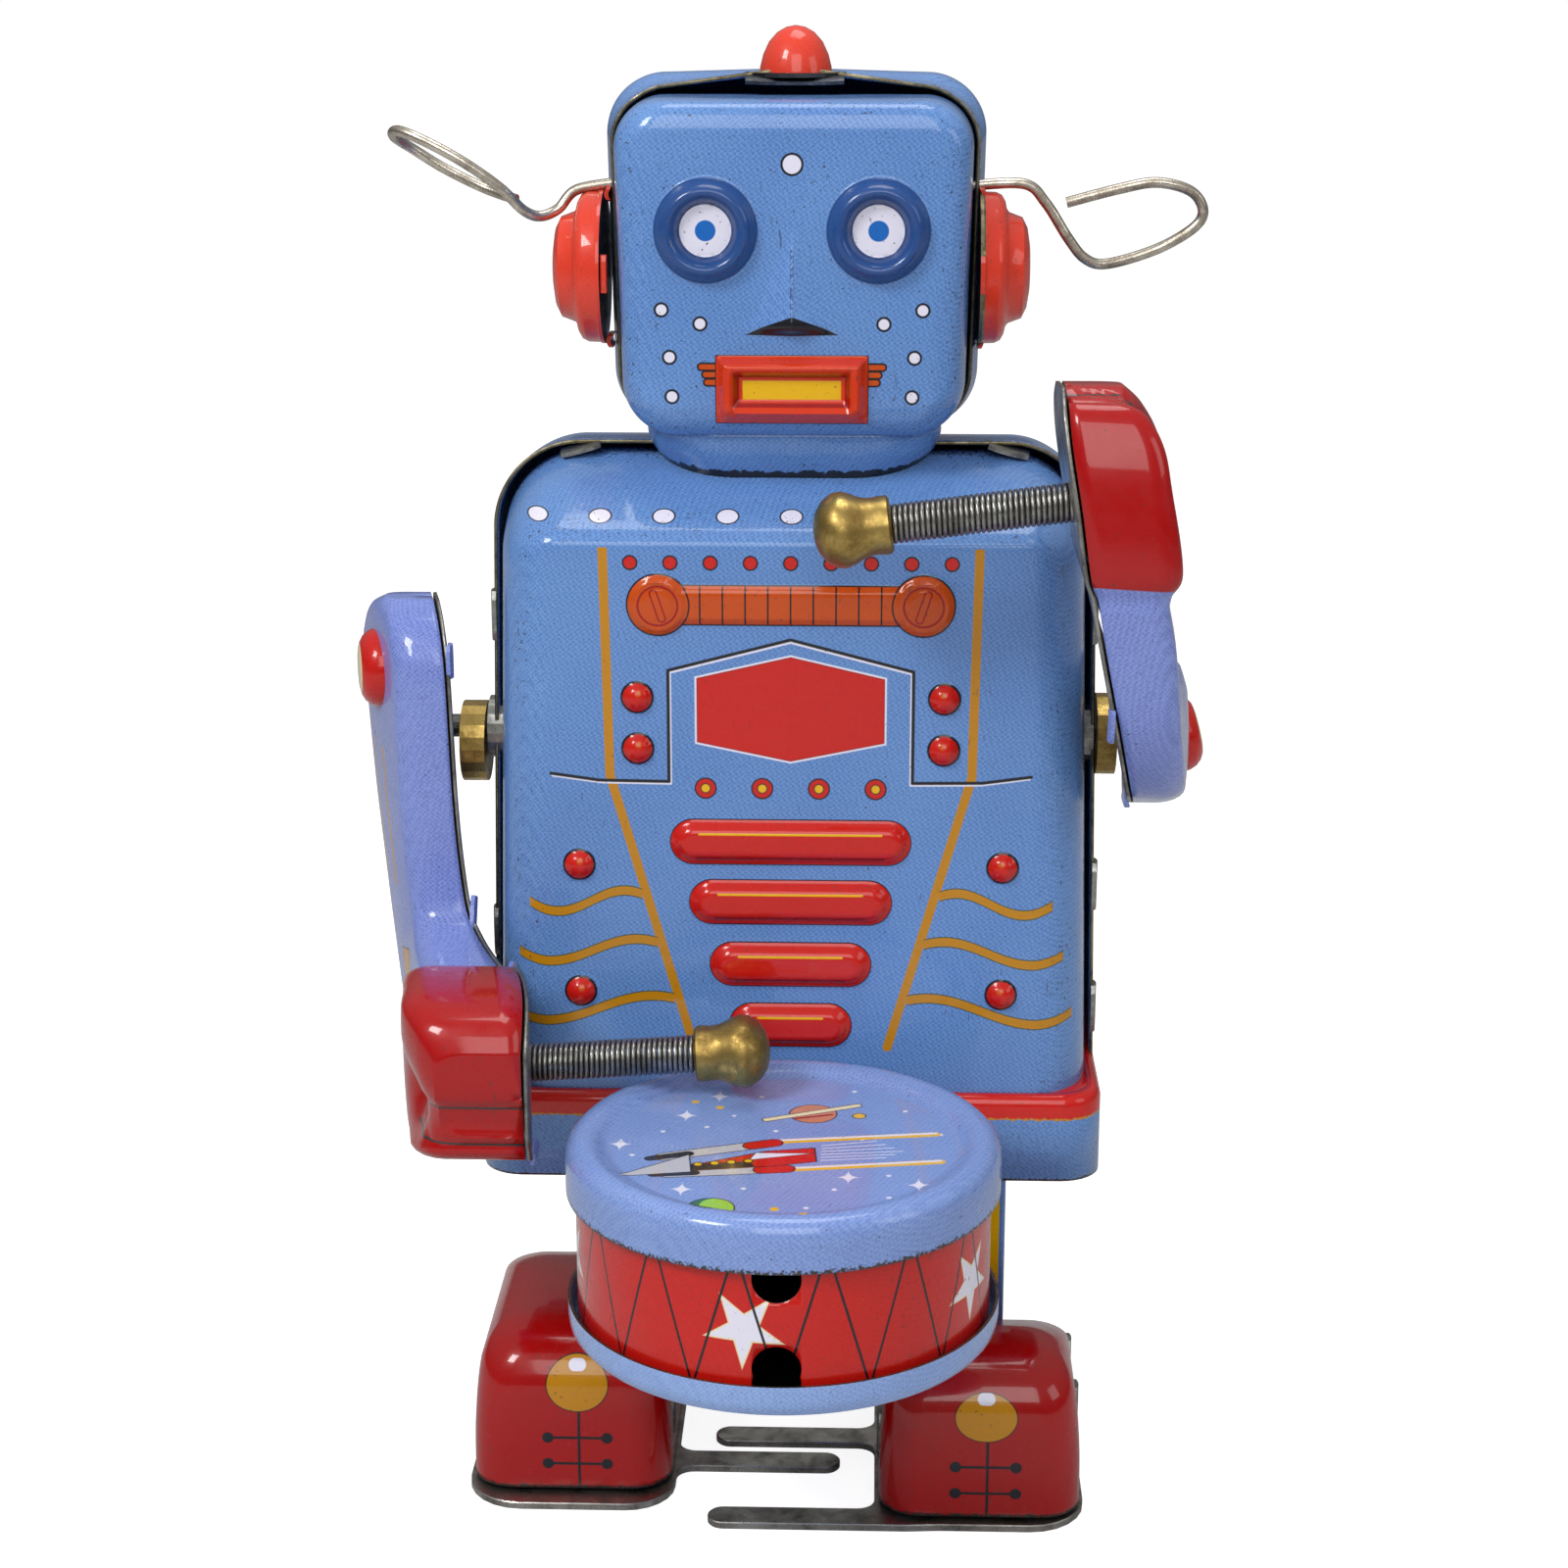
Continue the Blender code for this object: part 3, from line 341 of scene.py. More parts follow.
def open_material(name: str) -> Tuple[bpy.types.Material, NodeSheet, bpy.types.Node]:
    """Start a material with its node sheet and its surface shader."""
    material = bpy.data.materials.new(name)
    material.use_nodes = True
    return material, NodeSheet(material.node_tree), material.node_tree.nodes["Principled BSDF"]


class ShaderGroups:
    """Shader effects that several finishes share, each built once."""

    def __init__(self) -> None:
        """Build every shared group."""
        self.stroke = self._stroke()
        self.grain = self._grain()
        self.wear = self._wear()

    @staticmethod
    def _open(name: str, inputs: Dict[str, str], outputs: Dict[str, str]
              ) -> Tuple[NodeSheet, bpy.types.Node, bpy.types.Node]:
        """Start a node group with named sockets.

        Args:
            name: The group's name.
            inputs: Socket types by input name.
            outputs: Socket types by output name.

        Returns:
            The sheet, the group's input node and its output node.
        """
        tree = bpy.data.node_groups.new(name, "ShaderNodeTree")
        for label, kind in inputs.items():
            tree.interface.new_socket(label, in_out="INPUT", socket_type=kind)
        for label, kind in outputs.items():
            tree.interface.new_socket(label, in_out="OUTPUT", socket_type=kind)
        sheet = NodeSheet(tree)
        return sheet, sheet.add("NodeGroupInput"), sheet.add("NodeGroupOutput")

    def _stroke(self) -> bpy.types.NodeTree:
        """Distance from a straight stroke between two points.

        Returns:
            The group.
        """
        sheet, entry, leave = self._open(
            "stroke distance", {"Place": "NodeSocketVector", "Start": "NodeSocketVector",
                                "End": "NodeSocketVector"}, {"Distance": "NodeSocketFloat"})
        along = sheet.vector("SUBTRACT", entry.outputs["End"], entry.outputs["Start"])
        here = sheet.vector("SUBTRACT", entry.outputs["Place"], entry.outputs["Start"])
        length = sheet.plus(sheet.vector("DOT_PRODUCT", along, along, result="Value"), 1e-6)
        share = sheet.math("DIVIDE", sheet.vector("DOT_PRODUCT", here, along, result="Value"), length,
                           clamp=True)
        nearest = sheet.scaled(along, share)
        sheet.feed(leave.inputs[0], sheet.vector("DISTANCE", here, nearest, result="Value"))
        return sheet.tree

    def _grain(self) -> bpy.types.NodeTree:
        """Fine printed dots, laid at a slant as a halftone screen.

        Returns:
            The group.
        """
        sheet, entry, leave = self._open(
            "print dots", {"Place": "NodeSocketVector", "Pitch": "NodeSocketFloat"},
            {"Dots": "NodeSocketFloat"})
        turn = sheet.add("ShaderNodeVectorRotate", rotation_type="EULER_XYZ")
        sheet.feed(turn.inputs["Vector"], entry.outputs["Place"])
        turn.inputs["Rotation"].default_value = (0.35, 0.62, 0.8)
        wave = sheet.math("DIVIDE", 2.0 * math.pi, entry.outputs["Pitch"])
        x, y, z = sheet.split(sheet.scaled(turn.outputs[0], wave))
        total = sheet.plus(sheet.math("SINE", x), sheet.math("SINE", z))
        total = sheet.plus(total, sheet.times(sheet.math("SINE", y), 0.6))
        fleck = sheet.remap(sheet.noise(entry.outputs["Place"], 4.5, 1.0), 0.25, 0.75, -1.6, 1.6)
        total = sheet.plus(sheet.times(total, 0.6), fleck)
        sheet.feed(leave.inputs[0], sheet.remap(total, -1.1, 1.3))
        return sheet.tree

    def _wear(self) -> bpy.types.NodeTree:
        """Chips, scratches and smudges of handled tin.

        Returns:
            The group.
        """
        sheet, entry, leave = self._open(
            "handled tin", {"Place": "NodeSocketVector", "Edge": "NodeSocketFloat",
                            "Amount": "NodeSocketFloat"},
            {"Chip": "NodeSocketFloat", "Smudge": "NodeSocketFloat", "Dent": "NodeSocketFloat"})
        place = entry.outputs["Place"]
        fine = sheet.noise(place, 2.6, 3.0, 0.65)
        broad = sheet.noise(place, 0.16, 2.0)
        near_edge = sheet.times(entry.outputs["Edge"], 0.13)
        level = sheet.plus(fine, near_edge)
        level = sheet.plus(level, sheet.times(sheet.minus(broad, 0.5), 0.12))
        level = sheet.plus(level, sheet.times(entry.outputs["Amount"], 0.08))
        chip = sheet.remap(level, 0.7, 0.72)
        stretch = sheet.vector("MULTIPLY", place, (1.0, 1.0, 0.16))
        line = sheet.remap(sheet.noise(stretch, 3.4, 1.0, 0.4), 0.70, 0.73)
        patch = sheet.remap(sheet.noise(place, 0.11, 1.0), 0.54, 0.64)
        scratch = sheet.times(sheet.times(line, patch), 0.6)
        sheet.feed(leave.inputs["Chip"], sheet.math("MAXIMUM", chip, scratch, clamp=True))
        sheet.feed(leave.inputs["Smudge"], sheet.noise(place, 0.35, 4.0, 0.6))
        sheet.feed(leave.inputs["Dent"], sheet.noise(place, 0.09, 1.0))
        return sheet.tree


GROUPS = ShaderGroups()


class Place(Enum):
    """What a finish reads as its place on a piece."""

    ROBOT = "robot-frame millimetres"
    OWN = "the piece's own 'place' attribute in millimetres"


class Print:
    """Layers of flat ink over a ground colour, each limited by a mask."""

    SOFT = 0.05

    def __init__(self, sheet: NodeSheet, where: Place) -> None:
        """Start with the place that the masks read.

        Args:
            sheet: The finish's node sheet.
            where: Which coordinates the print follows.
        """
        self.sheet = sheet
        if where is Place.ROBOT:
            coordinate = sheet.add("ShaderNodeTexCoord")
            metres = coordinate.outputs["Object"]
            self.place = sheet.vector("SUBTRACT", sheet.scaled(metres, 1.0 / MM), Datum.offset_mm)
        else:
            own = sheet.add("ShaderNodeAttribute", attribute_name="place")
            self.place = own.outputs["Vector"]
        self.x, self.y, self.z = sheet.split(self.place)
        self.colour: object = (0.5, 0.5, 0.5)

    def ground(self, light: Colour, dots: Colour, pitch: float, share: float) -> None:
        """Lay the ground tint, with its fine printed dots.

        Args:
            light: The tint between the dots.
            dots: The tint of the dots.
            pitch: The dots' spacing.
            share: How strongly the dots show.
        """
        grain = self.sheet.group(GROUPS.grain, Place=self.place, Pitch=pitch).outputs[0]
        drift = self.sheet.noise(self.place, 0.05, 2.0)
        mask = self.sheet.math("ADD", self.sheet.times(grain, share),
                               self.sheet.times(self.sheet.minus(drift, 0.4), 0.5), clamp=True)
        self.colour = self.sheet.mix(mask, light, dots)

    def paint(self, mask: object, ink: object) -> None:
        """Lay an ink where the mask is 1."""
        self.colour = self.sheet.mix(mask, self.colour, ink)

    def lay(self, ink: object, distance: object, reach: float, *limits: object) -> None:
        """Lay an ink within a reach of a shape.

        Args:
            ink: The ink.
            distance: The shape's distance.
            reach: How far the ink reaches.
            limits: Masks that the ink stays inside.
        """
        mask = self.within(distance, reach)
        for limit in limits:
            mask = self.both(mask, limit)
        self.paint(mask, ink)

    def within(self, distance: object, reach: float) -> bpy.types.NodeSocket:
        """1 where a distance is less than a reach, with a soft printed edge."""
        return self.sheet.remap(distance, reach + self.SOFT, reach - self.SOFT)

    def ragged(self, scale: float, detail: float, reach: float, rough: float = 0.5) -> bpy.types.NodeSocket:
        """A wander of an ink's edge.

        Args:
            scale: How fine the wander is.
            detail: Its octaves.
            reach: How far it goes each way.
            rough: The share of each finer octave.

        Returns:
            The wander's socket.
        """
        noise = self.sheet.noise(self.place, scale, detail, rough)
        return self.sheet.remap(noise, 0.3, 0.7, -reach, reach)

    def spot(self, plane: object, centre: Sequence[float]) -> bpy.types.NodeSocket:
        """Distance from a point in a drawing plane."""
        return self.sheet.vector("DISTANCE", plane, (centre[0], centre[1], 0.0), result="Value")

    def stroke(self, plane: object, start: Sequence[float], end: Sequence[float]) -> bpy.types.NodeSocket:
        """Distance from a straight stroke in a drawing plane."""
        return self.sheet.group(GROUPS.stroke, Place=plane, Start=(*start, 0.0), End=(*end, 0.0)).outputs[0]

    def polyline(self, plane: object, points: Sequence[Sequence[float]]) -> bpy.types.NodeSocket:
        """Distance from a chain of strokes.

        Args:
            plane: The drawing plane.
            points: The chain's corners.

        Returns:
            The distance's socket.
        """
        nearest = self.stroke(plane, points[0], points[1])
        for start, end in zip(points[1:], points[2:]):
            nearest = self.sheet.math("MINIMUM", nearest, self.stroke(plane, start, end))
        return nearest

    def polygon(self, plane: object, corners: Sequence[Sequence[float]]) -> bpy.types.NodeSocket:
        """Signed distance bound of a convex polygon, negative inside; corners run anticlockwise.

        Args:
            plane: The drawing plane.
            corners: The polygon's corners.

        Returns:
            The distance's socket.
        """
        worst: Optional[bpy.types.NodeSocket] = None
        for (x0, y0), (x1, y1) in zip(corners, list(corners[1:]) + [corners[0]]):
            length = math.hypot(x1 - x0, y1 - y0)
            normal = ((y1 - y0) / length, -(x1 - x0) / length, 0.0)
            off = self.sheet.vector("DOT_PRODUCT", plane, normal, result="Value")
            off = self.sheet.minus(off, normal[0] * x0 + normal[1] * y0)
            worst = off if worst is None else self.sheet.math("MAXIMUM", worst, off)
        return worst

    def bar(self, plane: object, half: float, low: float, high: float) -> bpy.types.NodeSocket:
        """Signed distance bound of a level bar in a mirrored drawing plane.

        Args:
            plane: The mirrored drawing plane.
            half: Half the bar's length.
            low: Its lower edge.
            high: Its upper edge.

        Returns:
            The distance's socket.
        """
        return self.polygon(plane, ((-1.0, low), (half, low), (half, high), (-1.0, high)))

    def outlined(self, distance: object, reach: float, ink: Colour, line: float = 0.16) -> None:
        """Lay a shape with a black outline.

        Args:
            distance: The shape's distance.
            reach: How far the ink reaches.
            ink: The shape's ink.
            line: The outline's width.
        """
        self.paint(self.within(distance, reach + line), Ink.BLACK)
        self.paint(self.within(distance, reach), ink)

    def repeat(self, value: object, pitch: float, start: float) -> bpy.types.NodeSocket:
        """A coordinate folded about the middle of each repeat, from -pitch/2 to pitch/2."""
        shifted = self.sheet.minus(value, start - 0.5 * pitch)
        folded = self.sheet.math("FLOORED_MODULO", shifted, pitch)
        return self.sheet.minus(folded, 0.5 * pitch)

    def between(self, value: object, low: float, high: float) -> bpy.types.NodeSocket:
        """1 where a value is between two limits."""
        above = self.sheet.above(value, low)
        return self.sheet.times(above, self.sheet.below(value, high))

    def both(self, first: object, second: object) -> bpy.types.NodeSocket:
        """1 where two masks are both 1."""
        return self.sheet.times(first, second)


@dataclass(frozen=True)
class TinFinish:
    """Gloss printed or painted tin."""

    name: str
    ground: Colour
    dots: Colour
    art: Optional[Callable[["Print"], None]] = None
    where: Place = Place.ROBOT
    pitch: float = 0.42
    share: float = 0.55
    roughness: float = 0.27
    coat: float = 0.6
    wear: float = 0.35
    chip: Colour = Ink.CHIP

    def build(self) -> bpy.types.Material:
        """Make the material.

        Returns:
            The finished material.
        """
        material, sheet, shader = open_material(self.name)
        surface = Print(sheet, self.where)
        surface.ground(self.ground, self.dots, self.pitch, self.share)
        if self.art:
            self.art(surface)
        edge = sheet.add("ShaderNodeAttribute", attribute_name="edge").outputs["Fac"]
        wear = sheet.group(GROUPS.wear, Place=surface.place, Edge=edge, Amount=self.wear)
        colour = sheet.mix(wear.outputs["Chip"], surface.colour, self.chip)
        sheet.feed(shader.inputs["Base Color"], colour)
        rough = sheet.remap(wear.outputs["Smudge"], 0.3, 0.7, self.roughness - 0.06, self.roughness + 0.1)
        sheet.feed(shader.inputs["Roughness"], sheet.plus(rough, sheet.times(wear.outputs["Chip"], 0.25)))
        shader.inputs["Coat Weight"].default_value = self.coat
        shader.inputs["Coat Roughness"].default_value = 0.06
        shader.inputs["Specular IOR Level"].default_value = 0.2
        height = sheet.minus(sheet.times(wear.outputs["Dent"], 1.6), sheet.times(wear.outputs["Chip"], 0.05))
        sheet.bump(shader, height, 0.35, 0.3)
        return material


@dataclass(frozen=True)
class MetalFinish:
    """Bare or plated metal with tarnish, fine scratches and turning marks."""

    name: str
    light: Colour
    dark: Colour
    roughness: float = 0.34
    streak: Point = (1.0, 1.0, 1.0)
    scale: float = 1.2
    patina: float = 0.5

    def build(self) -> bpy.types.Material:
        """Make the material.

        Returns:
            The finished material.
        """
        material, sheet, shader = open_material(self.name)
        surface = Print(sheet, Place.ROBOT)
        broad = sheet.noise(surface.place, 0.22 * self.scale, 4.0, 0.62, 0.4)
        marks = sheet.noise(sheet.vector("MULTIPLY", surface.place, self.streak), 3.2 * self.scale, 2.0, 0.6)
        spots = sheet.remap(sheet.noise(surface.place, 1.7 * self.scale, 3.0, 0.7), 0.62, 0.74)
        tarnish = sheet.remap(broad, 0.5 - 0.3 * self.patina, 0.78)
        tarnish = sheet.math("MAXIMUM", tarnish, sheet.times(spots, self.patina))
        tarnish = sheet.math("ADD", tarnish, sheet.remap(marks, 0.3, 0.7, -0.12, 0.16), clamp=True)
        sheet.feed(shader.inputs["Base Color"], sheet.mix(tarnish, self.light, self.dark))
        shader.inputs["Metallic"].default_value = 1.0
        rough = sheet.math("ADD", sheet.remap(tarnish, 0.0, 1.0, self.roughness - 0.07, self.roughness + 0.2),
                           sheet.remap(marks, 0.3, 0.7, -0.05, 0.05), clamp=True)
        sheet.feed(shader.inputs["Roughness"], rough)
        sheet.bump(shader, marks, 0.22, 0.06)
        return material


# ------------------------------------------------------------------ printed art

def body_front_art(ink: Print) -> None:
    """Print of the robot's chest, with painted highlights and painted shade on its raised studs and bars; it
    is drawn once and mirrored about the middle.

    Args:
        ink: The print to draw on.
    """
    sheet = ink.sheet
    side = sheet.size(ink.x)
    plane = sheet.join(side, ink.z)
    front = sheet.below(ink.y, 5.0)

    stripe = ink.polyline(plane, ((22.2, 119.6), (21.7, 91.6), (11.9, 57.2)))
    on_face = sheet.times(front, sheet.below(ink.z, 119.4))
    ink.lay(Ink.MUSTARD, stripe, 0.56, on_face)

    for crest, trough, start, end in (((20.1, 77.1), (28.3, 74.4), 18.0, 31.8),
                                      ((18.7, 70.9), (29.4, 68.0), 16.2, 33.3),
                                      ((16.8, 63.6), (30.1, 60.3), 14.2, 34.6)):
        turn = sheet.times(sheet.minus(side, crest[0]), math.pi / (trough[0] - crest[0]))
        swing = sheet.times(sheet.math("COSINE", turn), 0.5 * (crest[1] - trough[1]))
        line = sheet.plus(swing, 0.5 * (crest[1] + trough[1]))
        off = sheet.size(sheet.minus(ink.z, line))
        reach = ink.both(ink.between(side, start, end), sheet.below(ink.y, 7.0))
        ink.lay(Ink.SHADE, off, 0.68, reach)
        ink.lay(Ink.MUSTARD, off, 0.54, reach)

    frame_line = ((28.8, 91.8), (23.0, 91.0), (14.6, 90.9), (14.6, 104.6), (0.0, 108.4))
    pinstripe = ink.polyline(plane, frame_line)
    shifted = ink.polyline(sheet.join(sheet.plus(side, 0.2), sheet.plus(ink.z, 0.24)), frame_line)
    ink.lay(Ink.LILAC, shifted, 0.16, front)
    ink.lay(Ink.BLACK, pinstripe, 0.2, front)

    hexagon = ink.polygon(plane, ((-1.0, 93.4), (0.0, 93.6), (11.1, 95.9), (11.1, 103.6), (0.0, 106.2),
                                  (-1.0, 106.4)))
    ink.lay(Ink.LILAC, hexagon, 0.35)
    ink.lay(Ink.DEEP_RED, hexagon, 0.12)
    ink.lay(Ink.RED, hexagon, 0.0)

    for centre in ChestRelief.STUDS:
        spot = ink.spot(plane, centre)
        ink.lay(Ink.BLACK, spot, 2.0)
        ink.lay(Ink.RED, spot, 1.72)
        # Orange spot at each raised stud's upper side: a painted highlight.
        glint = ink.spot(plane, (centre[0] - 0.2, centre[1] + 0.7))
        ink.lay(Ink.ORANGE, glint, 0.42, ink.within(spot, 1.72))

    ring_x = ink.repeat(side, 6.8, 3.4)
    ring = ink.spot(sheet.join(ring_x, ink.z), (0.0, 90.1))
    inside = sheet.below(side, 12.6)
    for reach, tint in ((1.34, Ink.BLACK), (1.16, Ink.RED), (0.62, Ink.BLACK), (0.5, Ink.YELLOW)):
        ink.lay(tint, ring, reach, inside)

    for half, height in ChestRelief.BARS:
        bar = ink.stroke(plane, (-1.0, height), (half - ChestRelief.BAR_R, height))
        ink.outlined(bar, ChestRelief.BAR_R + 0.1, Ink.RED, 0.14)
        # Painted shade along each raised bar's lower side, and a painted highlight along its top.
        shade = ink.stroke(plane, (-1.0, height - 1.9), (half - 3.2, height - 1.9))
        ink.lay(Ink.DEEP_RED, shade, 0.3)
        glint = ink.stroke(plane, (-1.0, height + 1.25), (half - 3.4, height + 1.25))
        ink.lay(Ink.YELLOW, glint, 0.13)

    dumbbell(ink, plane)
    dot = ink.spot(sheet.join(ink.repeat(ink.x, 4.74, 0.0), ink.z), (0.0, 117.6))
    inside = sheet.below(side, 21.0)
    ink.lay(Ink.BLACK, dot, 0.92, inside, front)
    ink.lay(Ink.RED, dot, 0.72, inside, front)
    oval = sheet.join(ink.repeat(ink.x, 7.55, 0.0), sheet.times(ink.z, 1.95))
    dot = ink.spot(oval, (0.0, 122.6 * 1.95))
    inside = sheet.below(side, 34.0)
    ink.lay(Ink.BLACK, dot, 1.42, inside)
    ink.lay(Ink.LILAC, dot, 1.22, inside)


def dumbbell(ink: Print, plane: object) -> None:
    """Print of the raised orange bar with its two screw heads.

    Args:
        ink: The print to draw on.
        plane: The mirrored drawing plane.
    """
    sheet = ink.sheet
    height, end, radius = ChestRelief.DUMBBELL
    bar = ink.bar(plane, end, height - 2.3, height + 2.3)
    ink.outlined(bar, 0.0, Ink.ORANGE, 0.18)
    marks = sheet.size(ink.repeat(ink.x, 2.68, 0.0))
    inside = ink.both(sheet.below(marks, 0.1), ink.within(bar, 0.0))
    ink.paint(inside, Ink.BLACK)
    head = ink.spot(plane, (end, height))
    ink.outlined(head, radius, Ink.ORANGE, 0.2)
    groove = sheet.size(sheet.minus(head, 2.35))
    ink.lay(Ink.DEEP_RED, groove, 0.13)
    slot = ink.stroke(plane, (end - 0.5, height - 1.5), (end + 0.5, height + 1.5))
    ink.lay(Ink.DEEP_RED, sheet.size(sheet.minus(slot, 0.42)), 0.1)


def body_rear_art(ink: Print) -> None:
    """Print of the robot's back: a pinstripe panel, stripes and rivets.

    Args:
        ink: The print to draw on.
    """
    sheet = ink.sheet
    side = sheet.size(ink.x)
    plane = sheet.join(side, ink.z)
    back = sheet.above(ink.y, 33.0)
    stripe = ink.polyline(plane, ((22.2, 122.0), (22.2, 92.0), (14.0, 54.0)))
    ink.lay(Ink.MUSTARD, stripe, 0.56, back)
    panel = ink.polygon(plane, ((-1.0, 84.0), (14.5, 84.0), (14.5, 108.0), (-1.0, 112.0)))
    outline = sheet.size(panel)
    ink.lay(Ink.BLACK, outline, 0.16, back)
    for height in (89.0, 93.5, 98.0, 102.5):
        louvre = ink.stroke(plane, (-1.0, height), (9.5, height))
        ink.lay(Ink.BLACK, louvre, 1.1, back)
        ink.lay(Ink.RED, louvre, 0.9, back)
    rivet = ink.spot(sheet.join(ink.repeat(ink.x, 6.4, 0.0), ink.z), (0.0, 117.0))
    ink.lay(Ink.BLACK, rivet, 0.9, sheet.below(side, 20.0), back)
    ink.lay(Ink.LILAC, rivet, 0.7, sheet.below(side, 20.0), back)
    plate = sheet.size(sheet.minus(ink.spot(plane, (0.0, 74.0)), 6.4))
    ink.lay(Ink.BLACK, plate, 0.16, back)


def skirt_art(ink: Print) -> None:
    """Red stripe along the top of the base skirt.

    Args:
        ink: The print to draw on.
    """
    high = Datum.box("base_skirt")[1].z
    rough = ink.ragged(2.0, 3.0, 0.15)
    level = ink.sheet.plus(ink.z, rough)
    ink.paint(ink.sheet.above(level, high - 2.95), Ink.MUSTARD)
    ink.paint(ink.sheet.above(level, high - 2.75), Ink.RED)
    ink.paint(ink.sheet.below(level, Datum.box("base_skirt")[0].z + 0.25), Ink.CHIP)


def neck_gap_shade_art(ink: Print) -> None:
    """Black painted shade with a torn edge over the neck's lower part, where it enters the body.

    Args:
        ink: The print to draw on.
    """
    sheet = ink.sheet
    rough = ink.ragged(0.9, 4.0, 0.5, 0.65)
    slope = sheet.plus(sheet.times(ink.y, 0.33), 124.1)
    # Black painted shade of the gap where the neck enters the body.
    ink.paint(sheet.below(sheet.plus(ink.z, rough), slope), Ink.BLACK)


def face_art(ink: Print) -> None:
    """Print of the face: eyes, nose, mouth, and rivet dots, with painted shade along the nose ridge, under
    the nose and on the mouth's recess walls.

    Args:
        ink: The print to draw on.
    """
    sheet = ink.sheet
    side = sheet.size(ink.x)
    plane = sheet.join(side, ink.z)
    face = FaceRelief
    eye = ink.spot(plane, (face.EYE_X, face.EYE_Z))
    ink.lay(Ink.EYE_DEEP, eye, 6.02)
    ring = sheet.remap(sheet.size(sheet.minus(eye, 4.7)), 1.5, 0.9)
    ring = sheet.times(ring, sheet.remap(sheet.noise(ink.place, 2.4, 2.0), 0.35, 0.6, 0.72, 1.0))
    ink.paint(ring, Ink.EYE_RING)
    ink.lay(Ink.EYE_DEEP, eye, 3.3)
    ink.lay(Ink.LILAC, eye, 3.0)
    ink.lay(Ink.PUPIL, eye, 1.2)
    for centre in ((0.0, 163.3, 1.1), (15.2, 146.7, 0.66), (10.7, 145.1, 0.66), (14.3, 141.2, 0.66),
                   (14.05, 136.6, 0.66)):
        spot = ink.spot(plane, centre)
        ink.outlined(spot, centre[2] - 0.04, Ink.LILAC, 0.27)
    # Black triangle: painted shade in the open cut under the pressed nose.
    nose = ink.polygon(plane, ((-1.0, 143.7), (5.9, 143.85), (3.4, 144.8), (0.0, 146.4), (-1.0, 146.7)))
    ink.lay(Ink.BLACK, nose, 0.0)
    # Painted shade along the nose ridge.
    shade = ink.stroke(plane, (0.0, 146.4), (0.0, 153.5))
    weight = sheet.remap(sheet.noise(ink.place, 3.0, 2.0), 0.42, 0.6)
    ink.lay(Ink.EYE_RING, shade, 0.2, weight)
    for height, reach in ((138.3, 9.9), (139.2, 10.1), (140.1, 10.6)):
        bolt = ink.stroke(plane, (8.6, height), (reach, height))
        ink.outlined(bolt, 0.3, Ink.ORANGE, 0.22)
    ink.outlined(ink.bar(plane, *face.MOUTH), 0.0, Ink.MOUTH, 0.12)
    # The deep red band is painted shade on the walls of the mouth's recess; the mouth ink and the yellow
    # inside are print.
    for half, low, high, tint in ((6.8, 135.5, 139.4, Ink.DEEP_RED), (6.2, 135.95, 138.95, Ink.MOUTH),
                                  (5.75, 136.35, 138.55, Ink.YELLOW)):
        ink.lay(tint, ink.bar(plane, half, low, high), 0.0)


# ------------------------------------------------------------------ mesh tools

def add_object(name: str, data: bpy.types.ID) -> bpy.types.Object:
    """Add an object at the origin.

    Args:
        name: The object's name.
        data: Its mesh, light or camera.

    Returns:
        The object.
    """
    thing = bpy.data.objects.new(name, data)
    bpy.context.collection.objects.link(thing)
    return thing


def make_piece(name: str, points: Sequence[Sequence[float]], faces: Sequence[Sequence[int]],
               materials: Sequence[bpy.types.Material], sharp: float = 38.0) -> bpy.types.Object:
    """A mesh object at the origin from robot-frame millimetres.

    Args:
        name: The piece's name.
        points: Corners in robot-frame millimetres.
        faces: Corner numbers of each face.
        materials: The piece's materials, in slot order.
        sharp: Edges steeper than this many degrees stay crisp.

    Returns:
        The object.
    """
    data = bpy.data.meshes.new(name)
    data.from_pydata(Datum.to_frame(points), [], [tuple(face) for face in faces])
    data.validate()
    data.shade_smooth()
    data.set_sharp_from_angle(angle=math.radians(sharp))
    for material in materials:
        data.materials.append(material)
    return add_object(name, data)


def set_attribute(thing: bpy.types.Object, name: str, values: Sequence[object], kind: str = "FLOAT") -> None:
    """Store one value for each corner point of a mesh.

    Args:
        thing: The mesh object.
        name: The attribute's name.
        values: A number or a vector for each point.
        kind: FLOAT or FLOAT_VECTOR.
    """
    attribute = thing.data.attributes.new(name, kind, "POINT")
    key = "vector" if kind == "FLOAT_VECTOR" else "value"
    attribute.data.foreach_set(key, np.asarray(values, dtype=np.float32).ravel())


def settle(thing: bpy.types.Object) -> bpy.types.Object:
    """Apply a piece's modifiers, so that it is a plain mesh.

    Args:
        thing: The object with modifiers.

    Returns:
        The same object, with the evaluated mesh.
    """
    graph = bpy.context.evaluated_depsgraph_get()
    graph.update()
    data = bpy.data.meshes.new_from_object(thing.evaluated_get(graph), preserve_all_data_layers=True,
                                           depsgraph=graph)
    old = thing.data
    thing.modifiers.clear()
    thing.data = data
    bpy.data.meshes.remove(old)
    data.name = thing.name
    return thing


def thicken(thing: bpy.types.Object, thickness: float = TIN) -> None:
    """Give a sheet its thickness behind the given surface, with its cut edge in the next material slot.

    Args:
        thing: The sheet.
        thickness: The sheet's thickness in millimetres.
    """
    solid = thing.modifiers.new("Thickness", "SOLIDIFY")
    solid.thickness = thickness * MM
    solid.offset = -1.0
    solid.use_even_offset = True
    solid.material_offset_rim = 1
    settle(thing)


